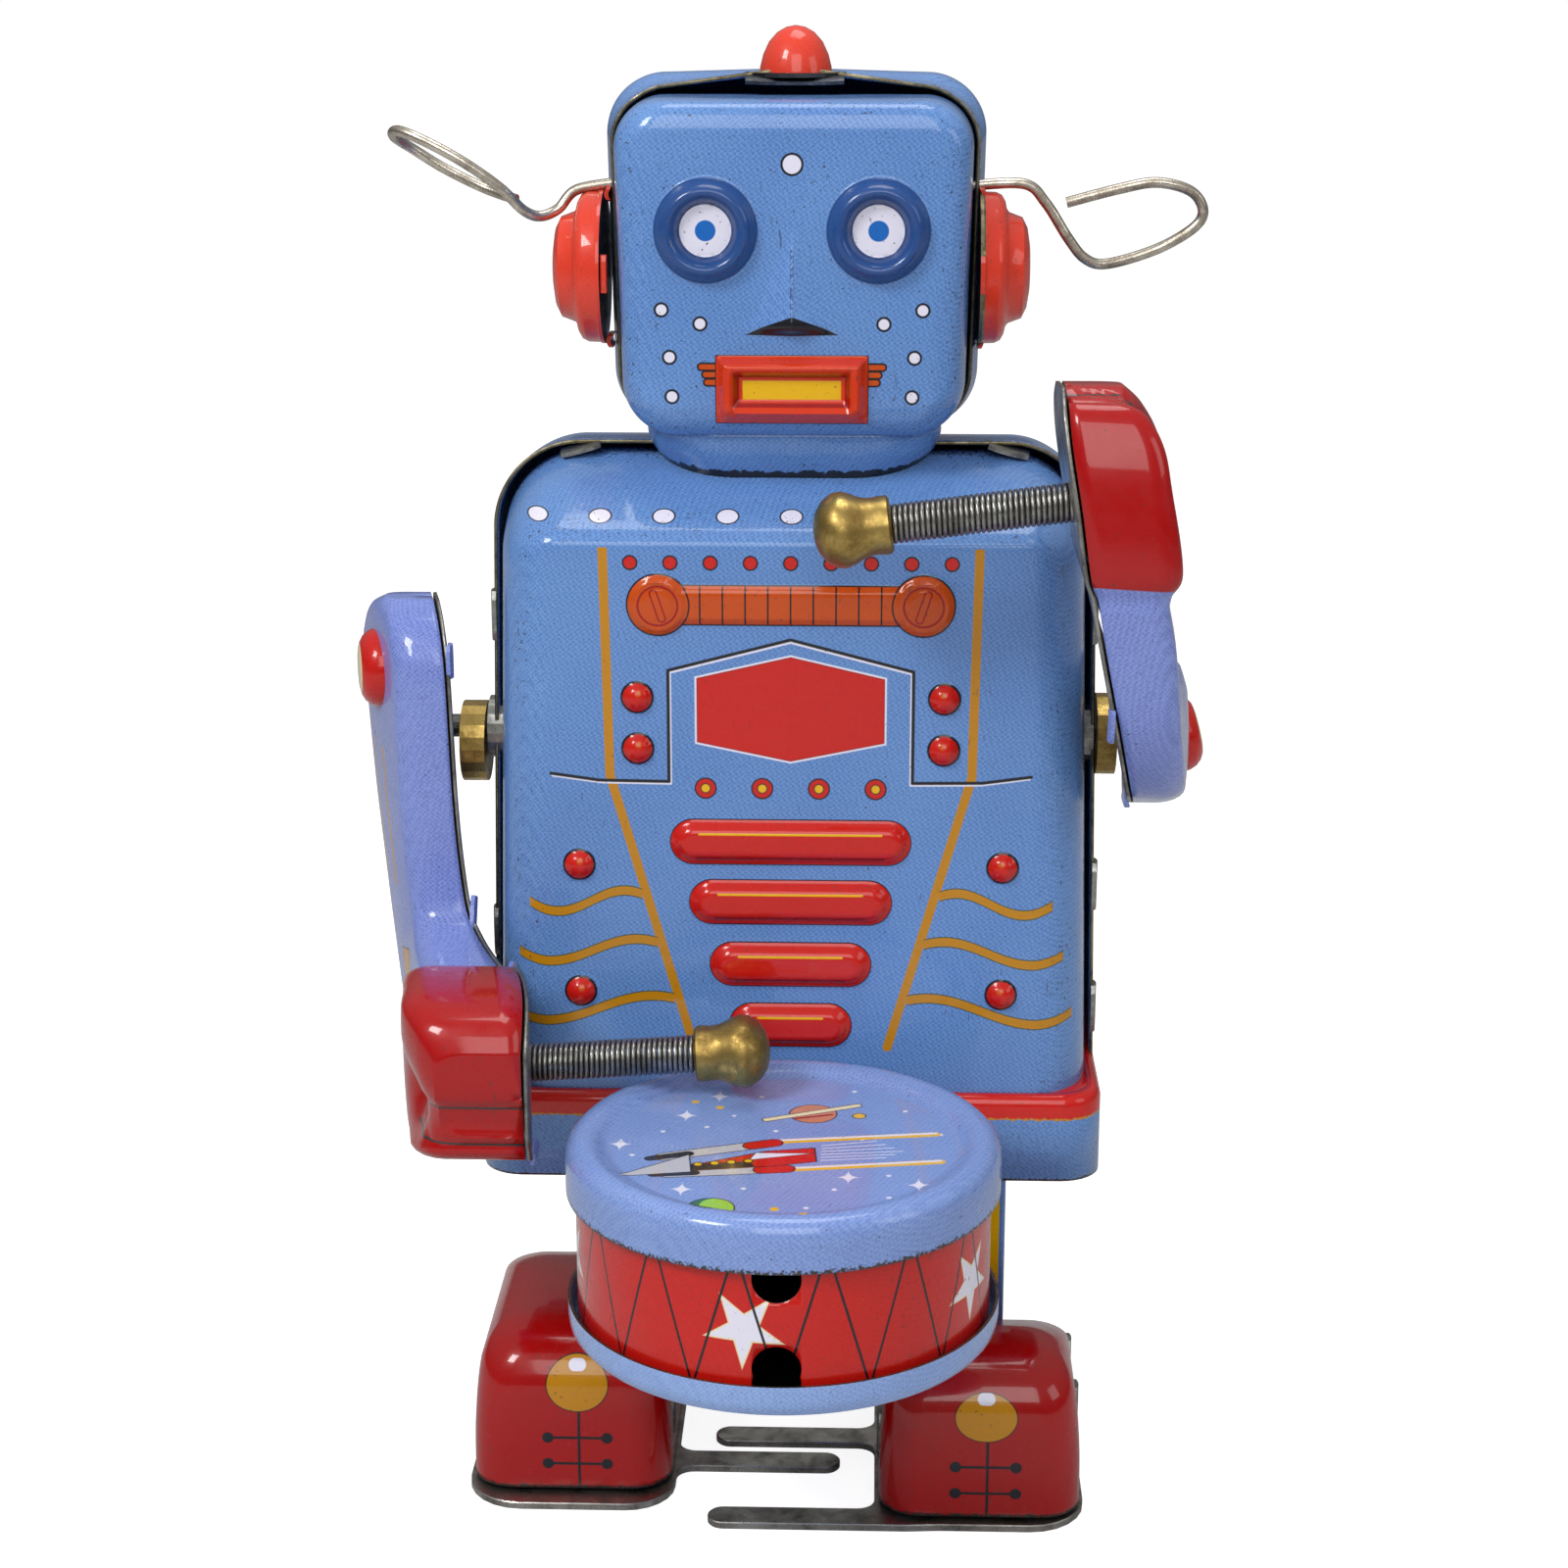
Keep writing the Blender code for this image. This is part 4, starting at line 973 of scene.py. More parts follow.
def skin(loops: Sequence[Sequence[Sequence[float]]], closed_ring: bool = True, cap_start: bool = False,
         cap_end: bool = False) -> Tuple[List[Sequence[float]], List[Tuple[int, ...]]]:
    """Points and faces of a skin over loops with equal point counts.

    Args:
        loops: The loops, in order.
        closed_ring: Whether each loop closes on itself.
        cap_start: Whether the first loop is capped.
        cap_end: Whether the last loop is capped.

    Returns:
        The points and the faces.
    """
    points = [point for loop in loops for point in loop]
    count = len(loops[0])
    faces: List[Tuple[int, ...]] = []
    steps = count if closed_ring else count - 1
    for row in range(len(loops) - 1):
        for index in range(steps):
            after = (index + 1) % count
            faces.append((row * count + index, row * count + after, (row + 1) * count + after,
                          (row + 1) * count + index))
    if cap_start:
        faces.append(tuple(range(count - 1, -1, -1)))
    if cap_end:
        faces.append(tuple(range((len(loops) - 1) * count, len(loops) * count)))
    return points, faces


def face_out(thing: bpy.types.Object) -> None:
    """Merge doubles and turn every face of a closed mesh outwards.

    Args:
        thing: The mesh object.
    """
    mesh = bmesh.new()
    mesh.from_mesh(thing.data)
    bmesh.ops.remove_doubles(mesh, verts=mesh.verts, dist=MERGE * MM)
    bmesh.ops.recalc_face_normals(mesh, faces=mesh.faces)
    mesh.to_mesh(thing.data)
    mesh.free()


def smoothstep(low: float, high: float, value: float) -> float:
    """A smooth rise from 0 at low to 1 at high."""
    share = min(max((value - low) / (high - low), 0.0), 1.0)
    return share * share * (3.0 - 2.0 * share)


def curve_through(points: Sequence[Sequence[float]], steps: int) -> List[Vector]:
    """Points of a smooth curve through given points.

    Args:
        points: The points that the curve passes, of any dimension.
        steps: How many points each stretch gets.

    Returns:
        The curve's points.
    """
    ends = [points[0], *points, points[-1]]
    result: List[Vector] = []
    for index in range(1, len(ends) - 2):
        p0, p1, p2, p3 = (Vector(ends[index + shift]) for shift in (-1, 0, 1, 2))
        for step in range(steps):
            t = step / steps
            result.append(0.5 * ((2.0 * p1) + (p2 - p0) * t + (2.0 * p0 - 5.0 * p1 + 4.0 * p2 - p3) * t ** 2
                                 + (3.0 * p1 - p0 - 3.0 * p2 + p3) * t ** 3))
    result.append(Vector(points[-1]))
    return result


@dataclass
class PressedPan:
    """A pressed tin pan: a flat face whose rim curls back through rounded stations.

    A station is (y, half width at the top, half width at the bottom, low z, high z, top corner radius,
    bottom corner radius); the stations run from the face to the rim.
    """

    name: str
    stations: Sequence[Sequence[float]]
    facing: float
    columns: int = 60
    rows: int = 60
    rings: int = 16
    relief: Optional[Callable[[float, float], float]] = None
    peak: float = 0.0

    def _over(self, index: int, count: int) -> int:
        """How far a grid line lies outside the flat face, with its sign."""
        return min(index - self.rings, 0) + max(index - self.rings - count, 0)

    def _point(self, curve: Sequence[Vector], i: int, j: int) -> Tuple[List[float], float]:
        """One point of the pan.

        Args:
            curve: The smooth run of stations.
            i: Column of the grid.
            j: Row of the grid.

        Returns:
            The point, and its share of the way from the face to the rim.
        """
        over_x, over_z = self._over(i, self.columns), self._over(j, self.rows)
        arc = max(abs(over_x), abs(over_z))
        ring = max(arc - 1, 0) / (self.rings - 1)
        spot = ring * (len(curve) - 1)
        index = min(int(spot), len(curve) - 2)
        y, half_top, half_low, low, high, r_top, r_low = curve[index].lerp(curve[index + 1], spot - index)
        across = min(max(i - self.rings, 0), self.columns) / self.columns * 2.0 - 1.0
        up = min(max(j - self.rings, 0), self.rows) / self.rows
        radius = r_low + (r_top - r_low) * up
        x = across * (half_low + (half_top - half_low) * up - radius)
        z = low + r_low + (high - r_top - low - r_low) * up
        if arc:
            share = min(abs(over_x), abs(over_z)) / arc
            angle = 0.25 * math.pi * share
            if abs(over_z) > abs(over_x):
                angle = 0.5 * math.pi - angle
            x += math.copysign(radius * math.cos(angle), over_x) if over_x else 0.0
            z += math.copysign(radius * math.sin(angle), over_z) if over_z else 0.0
        if over_z > 0:
            z += self.peak * ring ** 3 * max(1.0 - abs(x) / (half_top - 0.5 * radius), 0.0)
        return [x, y, z], ring

    def build(self, materials: Sequence[bpy.types.Material]) -> bpy.types.Object:
        """Press the pan.

        Args:
            materials: The print, and then the cut edge.

        Returns:
            The finished piece.
        """
        curve = curve_through(self.stations, 6)
        wide, tall = self.columns + 2 * self.rings + 1, self.rows + 2 * self.rings + 1
        points: List[List[float]] = []
        edge: List[float] = []
        for j in range(tall):
            for i in range(wide):
                point, ring = self._point(curve, i, j)
                if self.relief and ring < 0.2:
                    point[1] += self.facing * self.relief(point[0], point[2])
                points.append(point)
                edge.append(smoothstep(0.8, 1.0, ring) + 0.4 * smoothstep(0.25, 0.0, abs(ring - 0.3)))
        faces = [(j * wide + i, j * wide + i + 1, (j + 1) * wide + i + 1, (j + 1) * wide + i)
                 for j in range(tall - 1) for i in range(wide - 1)]
        if self.facing > 0.0:
            faces = [face[::-1] for face in faces]
        thing = make_piece(self.name, points, faces, materials, 60.0)
        set_attribute(thing, "edge", edge)
        thicken(thing)
        return thing


# ------------------------------------------------------------------ reliefs

def dome(distance: float, radius: float, height: float) -> float:
    """Height of a round-topped boss at a distance from its middle."""
    if distance >= radius:
        return 0.0
    return height * math.sqrt(max(1.0 - (distance / radius) ** 2, 0.0))


class ChestRelief:
    """Raised studs, bars and the dumbbell of the chest, in robot-frame millimetres."""

    STUDS = ((18.3, 101.3), (18.3, 95.0), (25.6, 80.4), (25.7, 64.2))
    STUD_R = 1.7
    BARS = ((14.35, 83.4), (12.1, 75.8), (9.65, 67.85), (7.3, 60.0))
    BAR_R = 2.65
    DUMBBELL = (112.55, 15.7, 3.6)

    @classmethod
    def height(cls, x: float, z: float) -> float:
        """Relief at a place on the chest.

        Args:
            x: Place across.
            z: Place up.

        Returns:
            How far the tin is pushed out.
        """
        side = abs(x)
        best = 0.0
        for centre in cls.STUDS:
            best = max(best, dome(math.hypot(side - centre[0], z - centre[1]), cls.STUD_R, 1.25))
        for half, height in cls.BARS:
            reach = math.hypot(max(side - (half - cls.BAR_R), 0.0), z - height)
            best = max(best, 1.15 * smoothstep(cls.BAR_R + 0.1, cls.BAR_R - 1.3, reach))
        height, end, radius = cls.DUMBBELL
        head = math.hypot(side - end, z - height)
        best = max(best, 0.85 * smoothstep(radius, radius - 0.7, head)
                   - 0.25 * smoothstep(0.45, 0.0, abs(head - 2.35)))
        if side < end:
            best = max(best, 0.55 * smoothstep(2.3, 1.7, abs(z - height)))
        return best


class FaceRelief:
    """Raised eye rings, nose ridge and mouth frame of the face."""

    EYE_X, EYE_Z = 10.0, 155.8
    MOUTH = (8.85, 133.5, 141.4)

    @classmethod
    def height(cls, x: float, z: float) -> float:
        """Relief at a place on the face.

        Args:
            x: Place across.
            z: Place up.

        Returns:
            How far the tin is pushed out.
        """
        side = abs(x)
        eye = math.hypot(side - cls.EYE_X, z - cls.EYE_Z)
        ring = 1.9 * max(1.0 - ((eye - 4.5) / 1.6) ** 2, 0.0) ** 1.3
        ring = max(ring, 0.25 * smoothstep(3.2, 2.8, eye) if eye <= 3.2 else 0.0)
        half, low, high = cls.MOUTH
        outside = max(side - half, low - z, z - high)
        mouth = 1.6 * smoothstep(0.0, -1.2, outside)
        inside = max(side - 6.2, 136.0 - z, z - 138.9)
        mouth -= 1.4 * smoothstep(1.1, -0.2, inside)
        nose = 0.0
        if 143.6 < z < 156.0:
            drop = (156.0 - z) / 10.6
            width = 1.0 + 4.0 * max(drop, 0.0) ** 1.5
            nose = 1.9 * min(drop, 1.0) ** 1.2 * max(1.0 - side / width, 0.0) ** 1.2
            nose *= smoothstep(143.6, 144.9, z)
        return ring + mouth + nose


# ------------------------------------------------------------------ geometry trees

class GeometryTree:
    """A Geometry Nodes tree with named inputs, run once on a mesh and then applied."""

    def __init__(self, name: str, inputs: Dict[str, str]) -> None:
        """Open a tree with a geometry, its named inputs and a material.

        Args:
            name: The tree's name.
            inputs: Socket types by input name.
        """
        self.tree = bpy.data.node_groups.new(name, "GeometryNodeTree")
        face = self.tree.interface
        face.new_socket("Geometry", in_out="INPUT", socket_type="NodeSocketGeometry")
        self.keys = {label: face.new_socket(label, in_out="INPUT", socket_type=kind).identifier
                     for label, kind in {**inputs, "Material": "NodeSocketMaterial"}.items()}
        face.new_socket("Geometry", in_out="OUTPUT", socket_type="NodeSocketGeometry")
        self.sheet = NodeSheet(self.tree)
        self.entry = self.sheet.add("NodeGroupInput")
        self.leave = self.sheet.add("NodeGroupOutput")

    def sweep(self, line: bpy.types.NodeSocket, radius: object, sides: object) -> bpy.types.NodeSocket:
        """Carry a round section along a curve.

        Args:
            line: The curve.
            radius: The section's radius.
            sides: The section's sides.

        Returns:
            The swept mesh's socket.
        """
        ring = self.sheet.add("GeometryNodeCurvePrimitiveCircle", mode="RADIUS")
        self.sheet.feed(ring.inputs["Resolution"], sides)
        self.sheet.feed(ring.inputs["Radius"], radius)
        sweep = self.sheet.add("GeometryNodeCurveToMesh")
        self.sheet.feed(sweep.inputs["Curve"], line)
        self.sheet.feed(sweep.inputs["Profile Curve"], ring.outputs[0])
        sweep.inputs["Fill Caps"].default_value = True
        return sweep.outputs[0]

    def close(self, geometry: bpy.types.NodeSocket, smooth: bool = True) -> None:
        """End the tree in real geometry with its material.

        Args:
            geometry: The finished geometry.
            smooth: Whether faces are shaded smooth.
        """
        real = self.sheet.add("GeometryNodeRealizeInstances")
        shade = self.sheet.add("GeometryNodeSetShadeSmooth")
        dress = self.sheet.add("GeometryNodeSetMaterial")
        self.sheet.feed(real.inputs["Geometry"], geometry)
        self.sheet.feed(shade.inputs["Geometry"], real.outputs[0])
        shade.inputs["Shade Smooth"].default_value = smooth
        self.sheet.feed(dress.inputs["Geometry"], shade.outputs[0])
        self.sheet.feed(dress.inputs["Material"], self.entry.outputs["Material"])
        self.sheet.feed(self.leave.inputs[0], dress.outputs[0])

    def run(self, thing: bpy.types.Object, **values: object) -> bpy.types.Object:
        """Run the tree on an object and keep the result as its mesh.

        Args:
            thing: The object that carries the tree's starting mesh.
            values: The tree's inputs by name.

        Returns:
            The same object.
        """
        modifier = thing.modifiers.new(self.tree.name, "NODES")
        modifier.node_group = self.tree
        for name, value in values.items():
            modifier[self.keys[name]] = value
        return settle(thing)


def wire_tree() -> GeometryTree:
    """A round wire along the starting mesh's line of edges.

    Returns:
        The tree.
    """
    tree = GeometryTree("wire along a line", {"Radius": "NodeSocketFloat", "Sides": "NodeSocketInt"})
    sheet, entry = tree.sheet, tree.entry
    line = sheet.add("GeometryNodeMeshToCurve")
    sheet.feed(line.inputs["Mesh"], entry.outputs["Geometry"])
    tree.close(tree.sweep(line.outputs[0], entry.outputs["Radius"], entry.outputs["Sides"]))
    return tree


def coil_tree() -> GeometryTree:
    """A close coil of round wire that stands on the origin along Z.

    Returns:
        The tree.
    """
    tree = GeometryTree("coil spring", {"Turns": "NodeSocketFloat", "Radius": "NodeSocketFloat",
                                        "Length": "NodeSocketFloat", "Wire": "NodeSocketFloat"})
    sheet, entry = tree.sheet, tree.entry
    spiral = sheet.add("GeometryNodeCurveSpiral")
    spiral.inputs["Resolution"].default_value = 22
    for socket, label in (("Rotations", "Turns"), ("Start Radius", "Radius"), ("End Radius", "Radius"),
                          ("Height", "Length")):
        sheet.feed(spiral.inputs[socket], entry.outputs[label])
    tree.close(tree.sweep(spiral.outputs[0], entry.outputs["Wire"], 7))
    return tree


def tab_tree() -> GeometryTree:
    """Folded tin tabs stood on points, turned by the points' 'across' and 'out' attributes.

    Returns:
        The tree.
    """
    tree = GeometryTree("folded tabs", {"Size": "NodeSocketVector", "Bevel": "NodeSocketFloat"})
    sheet, entry = tree.sheet, tree.entry
    across, out = (sheet.add("GeometryNodeInputNamedAttribute", data_type="FLOAT_VECTOR") for _ in range(2))
    across.inputs["Name"].default_value = "across"
    out.inputs["Name"].default_value = "out"
    first = sheet.add("FunctionNodeAlignRotationToVector", axis="X")
    sheet.feed(first.inputs["Vector"], across.outputs["Attribute"])
    second = sheet.add("FunctionNodeAlignRotationToVector", axis="Z", pivot_axis="X")
    sheet.feed(second.inputs["Rotation"], first.outputs[0])
    sheet.feed(second.inputs["Vector"], out.outputs["Attribute"])
    block = sheet.add("GeometryNodeMeshCube")
    sheet.feed(block.inputs["Size"], entry.outputs["Size"])
    for axis, count in zip("XYZ", (7, 5, 2)):
        block.inputs[f"Vertices {axis}"].default_value = count
    shape = sheet.add("GeometryNodeSetPosition")
    sheet.feed(shape.inputs["Geometry"], block.outputs[0])
    position = sheet.add("GeometryNodeInputPosition").outputs[0]
    half = sheet.scaled(entry.outputs["Size"], 0.5)
    share = sheet.vector("DIVIDE", position, half)
    share_x, share_y, _ = sheet.split(share)
    x, y, z = sheet.split(position)
    round_off = sheet.times(sheet.math("POWER", sheet.size(share_x), 4.0), 0.3)
    y = sheet.times(y, sheet.minus(1.0, round_off))
    sag = sheet.times(sheet.math("POWER", sheet.size(share_y), 2.0), entry.outputs["Bevel"])
    z = sheet.minus(z, sag)
    sheet.feed(shape.inputs["Position"], sheet.join(x, y, z))
    stand = sheet.add("GeometryNodeInstanceOnPoints")
    sheet.feed(stand.inputs["Points"], entry.outputs["Geometry"])
    sheet.feed(stand.inputs["Instance"], shape.outputs[0])
    sheet.feed(stand.inputs["Rotation"], second.outputs[0])
    tree.close(stand.outputs[0], smooth=False)
    return tree


WIRE = wire_tree()
COIL = coil_tree()
TABS = tab_tree()


def wire_piece(name: str, points: Sequence[Sequence[float]], radius: float, material: bpy.types.Material,
               ) -> bpy.types.Object:
    """A round wire on a smooth path.

    Args:
        name: The piece's name.
        points: The points that the path passes.
        radius: The wire's radius in millimetres.
        material: The wire's finish.

    Returns:
        The finished piece.
    """
    path = curve_through(points, 10)
    data = bpy.data.meshes.new(name)
    data.from_pydata(Datum.to_frame(path), [(i, i + 1) for i in range(len(path) - 1)], [])
    thing = add_object(name, data)
    return WIRE.run(thing, Radius=radius * MM, Sides=14, Material=material)


def tab_row(name: str, stands: Sequence[Tuple[Point, Point, Point]], size: Point,
            material: bpy.types.Material) -> bpy.types.Object:
    """Folded tabs at several places, as one piece.

    Args:
        name: The piece's name.
        stands: Each tab's middle, the direction across it and the direction it faces.
        size: A tab's width, length and thickness in millimetres.
        material: The tabs' finish.

    Returns:
        The finished piece.
    """
    data = bpy.data.meshes.new(name)
    data.from_pydata(Datum.to_frame([stand[0] for stand in stands]), [], [])
    thing = add_object(name, data)
    set_attribute(thing, "across", [stand[1] for stand in stands], "FLOAT_VECTOR")
    set_attribute(thing, "out", [stand[2] for stand in stands], "FLOAT_VECTOR")
    return TABS.run(thing, Size=Vector(size) * MM, Bevel=TAB_SAG * MM, Material=material)


@dataclass
class Turned:
    """A round piece turned about an axis from a profile of (radius, height)."""

    name: str
    profile: Sequence[Tuple[float, float]]
    centre: Point
    axis: Point = (0.0, 0.0, 1.0)
    segments: int = 96
    closed: bool = False

    def build(self, materials: Sequence[bpy.types.Material]) -> bpy.types.Object:
        """Turn the piece.

        Args:
            materials: The piece's materials.

        Returns:
            The finished piece.
        """
        turn = Vector(self.axis).to_track_quat("Z", "Y").to_matrix()
        loops = []
        for radius, height in map(Vector, self.profile):
            ring = []
            for index in range(self.segments):
                angle = 2.0 * math.pi * index / self.segments
                reach = max(radius, 1e-4)
                arm = Vector((reach * math.cos(angle), reach * math.sin(angle), height))
                ring.append(Vector(self.centre) + turn @ arm)
            loops.append(ring)
        if self.closed:
            loops.append(loops[0])
        points, faces = skin(loops)
        thing = make_piece(self.name, points, faces, materials, TURNED_SHARP)
        face_out(thing)
        thing.data.shade_smooth()
        thing.data.set_sharp_from_angle(angle=math.radians(TURNED_SHARP))
        return thing


def cut_away(thing: bpy.types.Object, centres: Sequence[Point], radius: float) -> None:
    """Cut round holes through a piece from its front.

    Args:
        thing: The piece.
        centres: The holes' middles.
        radius: The holes' radius in millimetres.
    """
    depth = 6.0
    for centre in centres:
        start = (centre[0], centre[1] - 0.5 * depth, centre[2])
        cutter = Turned("cutter", ((0.0, 0.0), (radius, 0.0), (radius, depth), (0.0, depth)), start,
                        (0.0, 1.0, 0.0), 40).build([])
        modifier = thing.modifiers.new("Hole", "BOOLEAN")
        modifier.object = cutter
        modifier.operation = "DIFFERENCE"
        modifier.solver = "EXACT"
        settle(thing)
        bpy.data.objects.remove(cutter)


def mark_slot(thing: bpy.types.Object, slot: int, test: Callable[[Vector, Vector], bool]) -> None:
    """Give a material slot to the faces whose middle and normal pass a test.

    Args:
        thing: The piece.
        slot: The slot's number.
        test: What the middle (in robot-frame millimetres) and the normal must pass.
    """
    shift = Vector(Datum.offset_mm)
    for face in thing.data.polygons:
        if test(face.center / MM - shift, face.normal):
            face.material_index = slot


# ------------------------------------------------------------------ finishes of this robot

class Finishes:
    """Every finish of the robot, built once."""

    def __init__(self) -> None:
        """Build the materials."""
        blue = dict(ground=Ink.BODY_BLUE, dots=Ink.BODY_DOT)
        self.chest = TinFinish("printed chest", art=body_front_art, **blue).build()
        self.back = TinFinish("printed back", art=body_rear_art, **blue).build()
        self.face = TinFinish("printed face", art=face_art, **blue).build()
        self.plain_blue = TinFinish("blue tin", **blue, wear=0.5).build()
        self.neck = TinFinish("neck tin", art=neck_gap_shade_art, **blue).build()
        self.skirt = TinFinish("printed skirt", art=skirt_art, **blue).build()
        self.red = TinFinish("red tin", Ink.RED, Ink.DEEP_RED, share=0.35).build()
        self.cream = TinFinish("cream print", Ink.CREAM, Ink.YELLOW, share=0.2).build()
        self.coral = TinFinish("coral tin", Ink.CORAL, Ink.RED, share=0.2, roughness=0.3).build()
        self.cap = TinFinish("printed drum top", Ink.CAP_BLUE, Ink.CAP_DOT, art=drum_top_art).build()
        self.wall = TinFinish("printed drum wall", Ink.RED, Ink.DEEP_RED, art=drum_wall_art,
                              share=0.3).build()
        self.low_cap = TinFinish("drum bottom cap", srgb(150, 180, 232), Ink.CAP_DOT, share=0.4).build()
        self.arm = TinFinish("printed arm", Ink.ARM_BLUE, Ink.ARM_DOT, art=arm_art, where=Place.OWN).build()
        self.arm_plain = TinFinish("plain arm tin", Ink.ARM_BLUE, Ink.ARM_DOT).build()
        self.shoe = TinFinish("printed shoe", Ink.SHOE_RED, Ink.DEEP_RED, art=shoe_art, share=0.3,
                              roughness=0.2).build()
        self.leg = TinFinish("printed leg", srgb(84, 132, 205), Ink.BODY_DOT, art=leg_art).build()
        self.edge = MetalFinish("cut tin edge", srgb(150, 140, 110), srgb(58, 48, 36), 0.42,
                                scale=2.0).build()
        self.steel = MetalFinish("dull steel", srgb(168, 168, 162), srgb(74, 70, 64), 0.38).build()
        self.plate = MetalFinish("rolled steel", srgb(176, 174, 168), srgb(96, 92, 86), 0.36,
                                 streak=(1.0, 6.0, 0.4), patina=0.4).build()
        self.wire = MetalFinish("bright wire", srgb(214, 206, 192), srgb(120, 108, 92), 0.3,
                                scale=1.6).build()
        self.spring = MetalFinish("spring wire", srgb(176, 176, 172), srgb(92, 88, 82), 0.3,
                                  scale=1.4).build()
        self.brass = MetalFinish("turned brass", srgb(190, 162, 94), srgb(112, 86, 42), 0.36,
                                 scale=0.8).build()
        # Dark steel of the mainspring and lamp clip, and painted shade on the ear bases, under the lamp cap
        # and inside the drum.
        self.dark = MetalFinish("blued steel", srgb(96, 98, 104), srgb(36, 36, 40), 0.34).build()

    def dress(self, node: str, material: bpy.types.Material) -> None:
        """Give a carried-over node its finish."""
        thing = bpy.data.objects[node]
        thing.data.materials.clear()
        thing.data.materials.append(material)


def drum_top_art(ink: Print) -> None:
    """Night sky print of the drum's top: a small rocket, two boosters, planets and stars.

    Args:
        ink: The print to draw on.
    """
    sheet = ink.sheet
    plane = sheet.join(ink.x, sheet.minus(ink.y, Drum.CENTRE[1]))
    for centre, radius in Drum.DOTS:
        ink.lay(Ink.LILAC, ink.spot(plane, centre), radius)
    for centre, radius in Drum.GOLD_DOTS:
        ink.lay(Ink.YELLOW, ink.spot(plane, centre), radius)
    for start, end in (((-1.4, 0.3), (17.4, 3.1)), ((0.6, -7.6), (17.8, -4.9))):
        ink.lay(Ink.YELLOW, ink.stroke(plane, start, end), 0.62)
        upper = tuple((point[0], point[1] + 0.3) for point in (start, end))
        ink.lay(Ink.LILAC, ink.stroke(plane, *upper), 0.24)
    for row in range(6):
        start, end = (4.4, -4.9 + 0.85 * row), (13.6 - abs(row - 2), -3.9 + 0.95 * row)
        ink.lay(Ink.LILAC, ink.stroke(plane, start, end), 0.09)
    planet = ink.spot(plane, (3.2, 8.9))
    ink.outlined(planet, 2.7, Ink.TERRACOTTA, 0.16)
    for offset in (-0.9, 0.5):
        band = ink.stroke(plane, (1.0, 8.2 + offset), (5.4, 9.6 + offset))
        ink.lay(Ink.DEEP_RED, band, 0.22, ink.within(planet, 2.7))
    ink.outlined(ink.stroke(plane, (-2.2, 6.9), (8.4, 11.6)), 0.42, Ink.CREAM, 0.16)
    ink.outlined(ink.spot(plane, (8.6, 8.4)), 0.7, Ink.YELLOW)
    moon = ink.spot(plane, (-7.3, -18.3))
    ink.outlined(moon, 2.5, Ink.DARK_GREEN, 0.16)
    ink.lay(Ink.GREEN, ink.spot(plane, (-6.6, -17.7)), 2.0, ink.within(moon, 2.5))
    for start, end in (((-13.4, -4.4), (-1.1, 0.0)), ((-12.6, -9.2), (0.5, -7.4))):
        reach = Vector(end) - Vector(start)
        ink.outlined(ink.stroke(plane, start, end), 0.95, Ink.SILVER, 0.16)
        cone = tuple(Vector(start) + 0.22 * reach)
        tip = tuple(Vector(start) - 0.12 * reach)
        ink.lay(Ink.BLACK, ink.stroke(plane, tip, cone), 0.7)
        ink.outlined(ink.stroke(plane, tuple(Vector(start) + 0.8 * reach), end), 0.95, Ink.RED, 0.16)
    body = ink.polygon(plane, ((-10.2, -8.2), (-1.0, -6.6), (3.8, -5.2), (3.4, 0.2), (-2.0, -2.6),
                               (-10.6, -4.4)))
    ink.outlined(body, 0.0, Ink.RED, 0.18)
    keel = ink.polygon(plane, ((-10.2, -8.2), (-3.0, -6.9), (-3.6, -5.4), (-10.4, -6.4)))
    ink.lay(Ink.BLACK, keel, 0.0)
    needle = ink.polygon(plane, ((-3.6, -4.9), (3.0, -3.0), (-3.0, -3.0)))
    ink.outlined(needle, 0.0, Ink.LILAC, 0.12)
    nose = ink.polygon(plane, ((-17.4, -9.6), (-10.4, -8.3), (-10.8, -4.3)))
    ink.outlined(nose, 0.25, Ink.SILVER, 0.16)
    for share in (0.0, 0.33, 0.66, 1.0):
        centre = (-9.4 + 5.6 * share, -6.4 + 1.1 * share)
        ink.outlined(ink.spot(plane, centre), 0.42, Ink.YELLOW, 0.2)
    for x, y in Drum.SPARKLES:
        place = sheet.vector("SUBTRACT", plane, (x, y, 0.0))
        across, up, _ = sheet.split(place)
        roots = [sheet.math("SQRT", sheet.size(share)) for share in (across, sheet.times(up, 0.75))]
        arms = sheet.plus(*roots)
        ink.paint(sheet.remap(arms, 1.28, 1.18), Ink.LILAC)
    rim = sheet.remap(sheet.plus(ink.z, ink.ragged(2.6, 3.0, 0.4)), 51.45, 51.15)
    ink.paint(rim, Ink.CHIP)


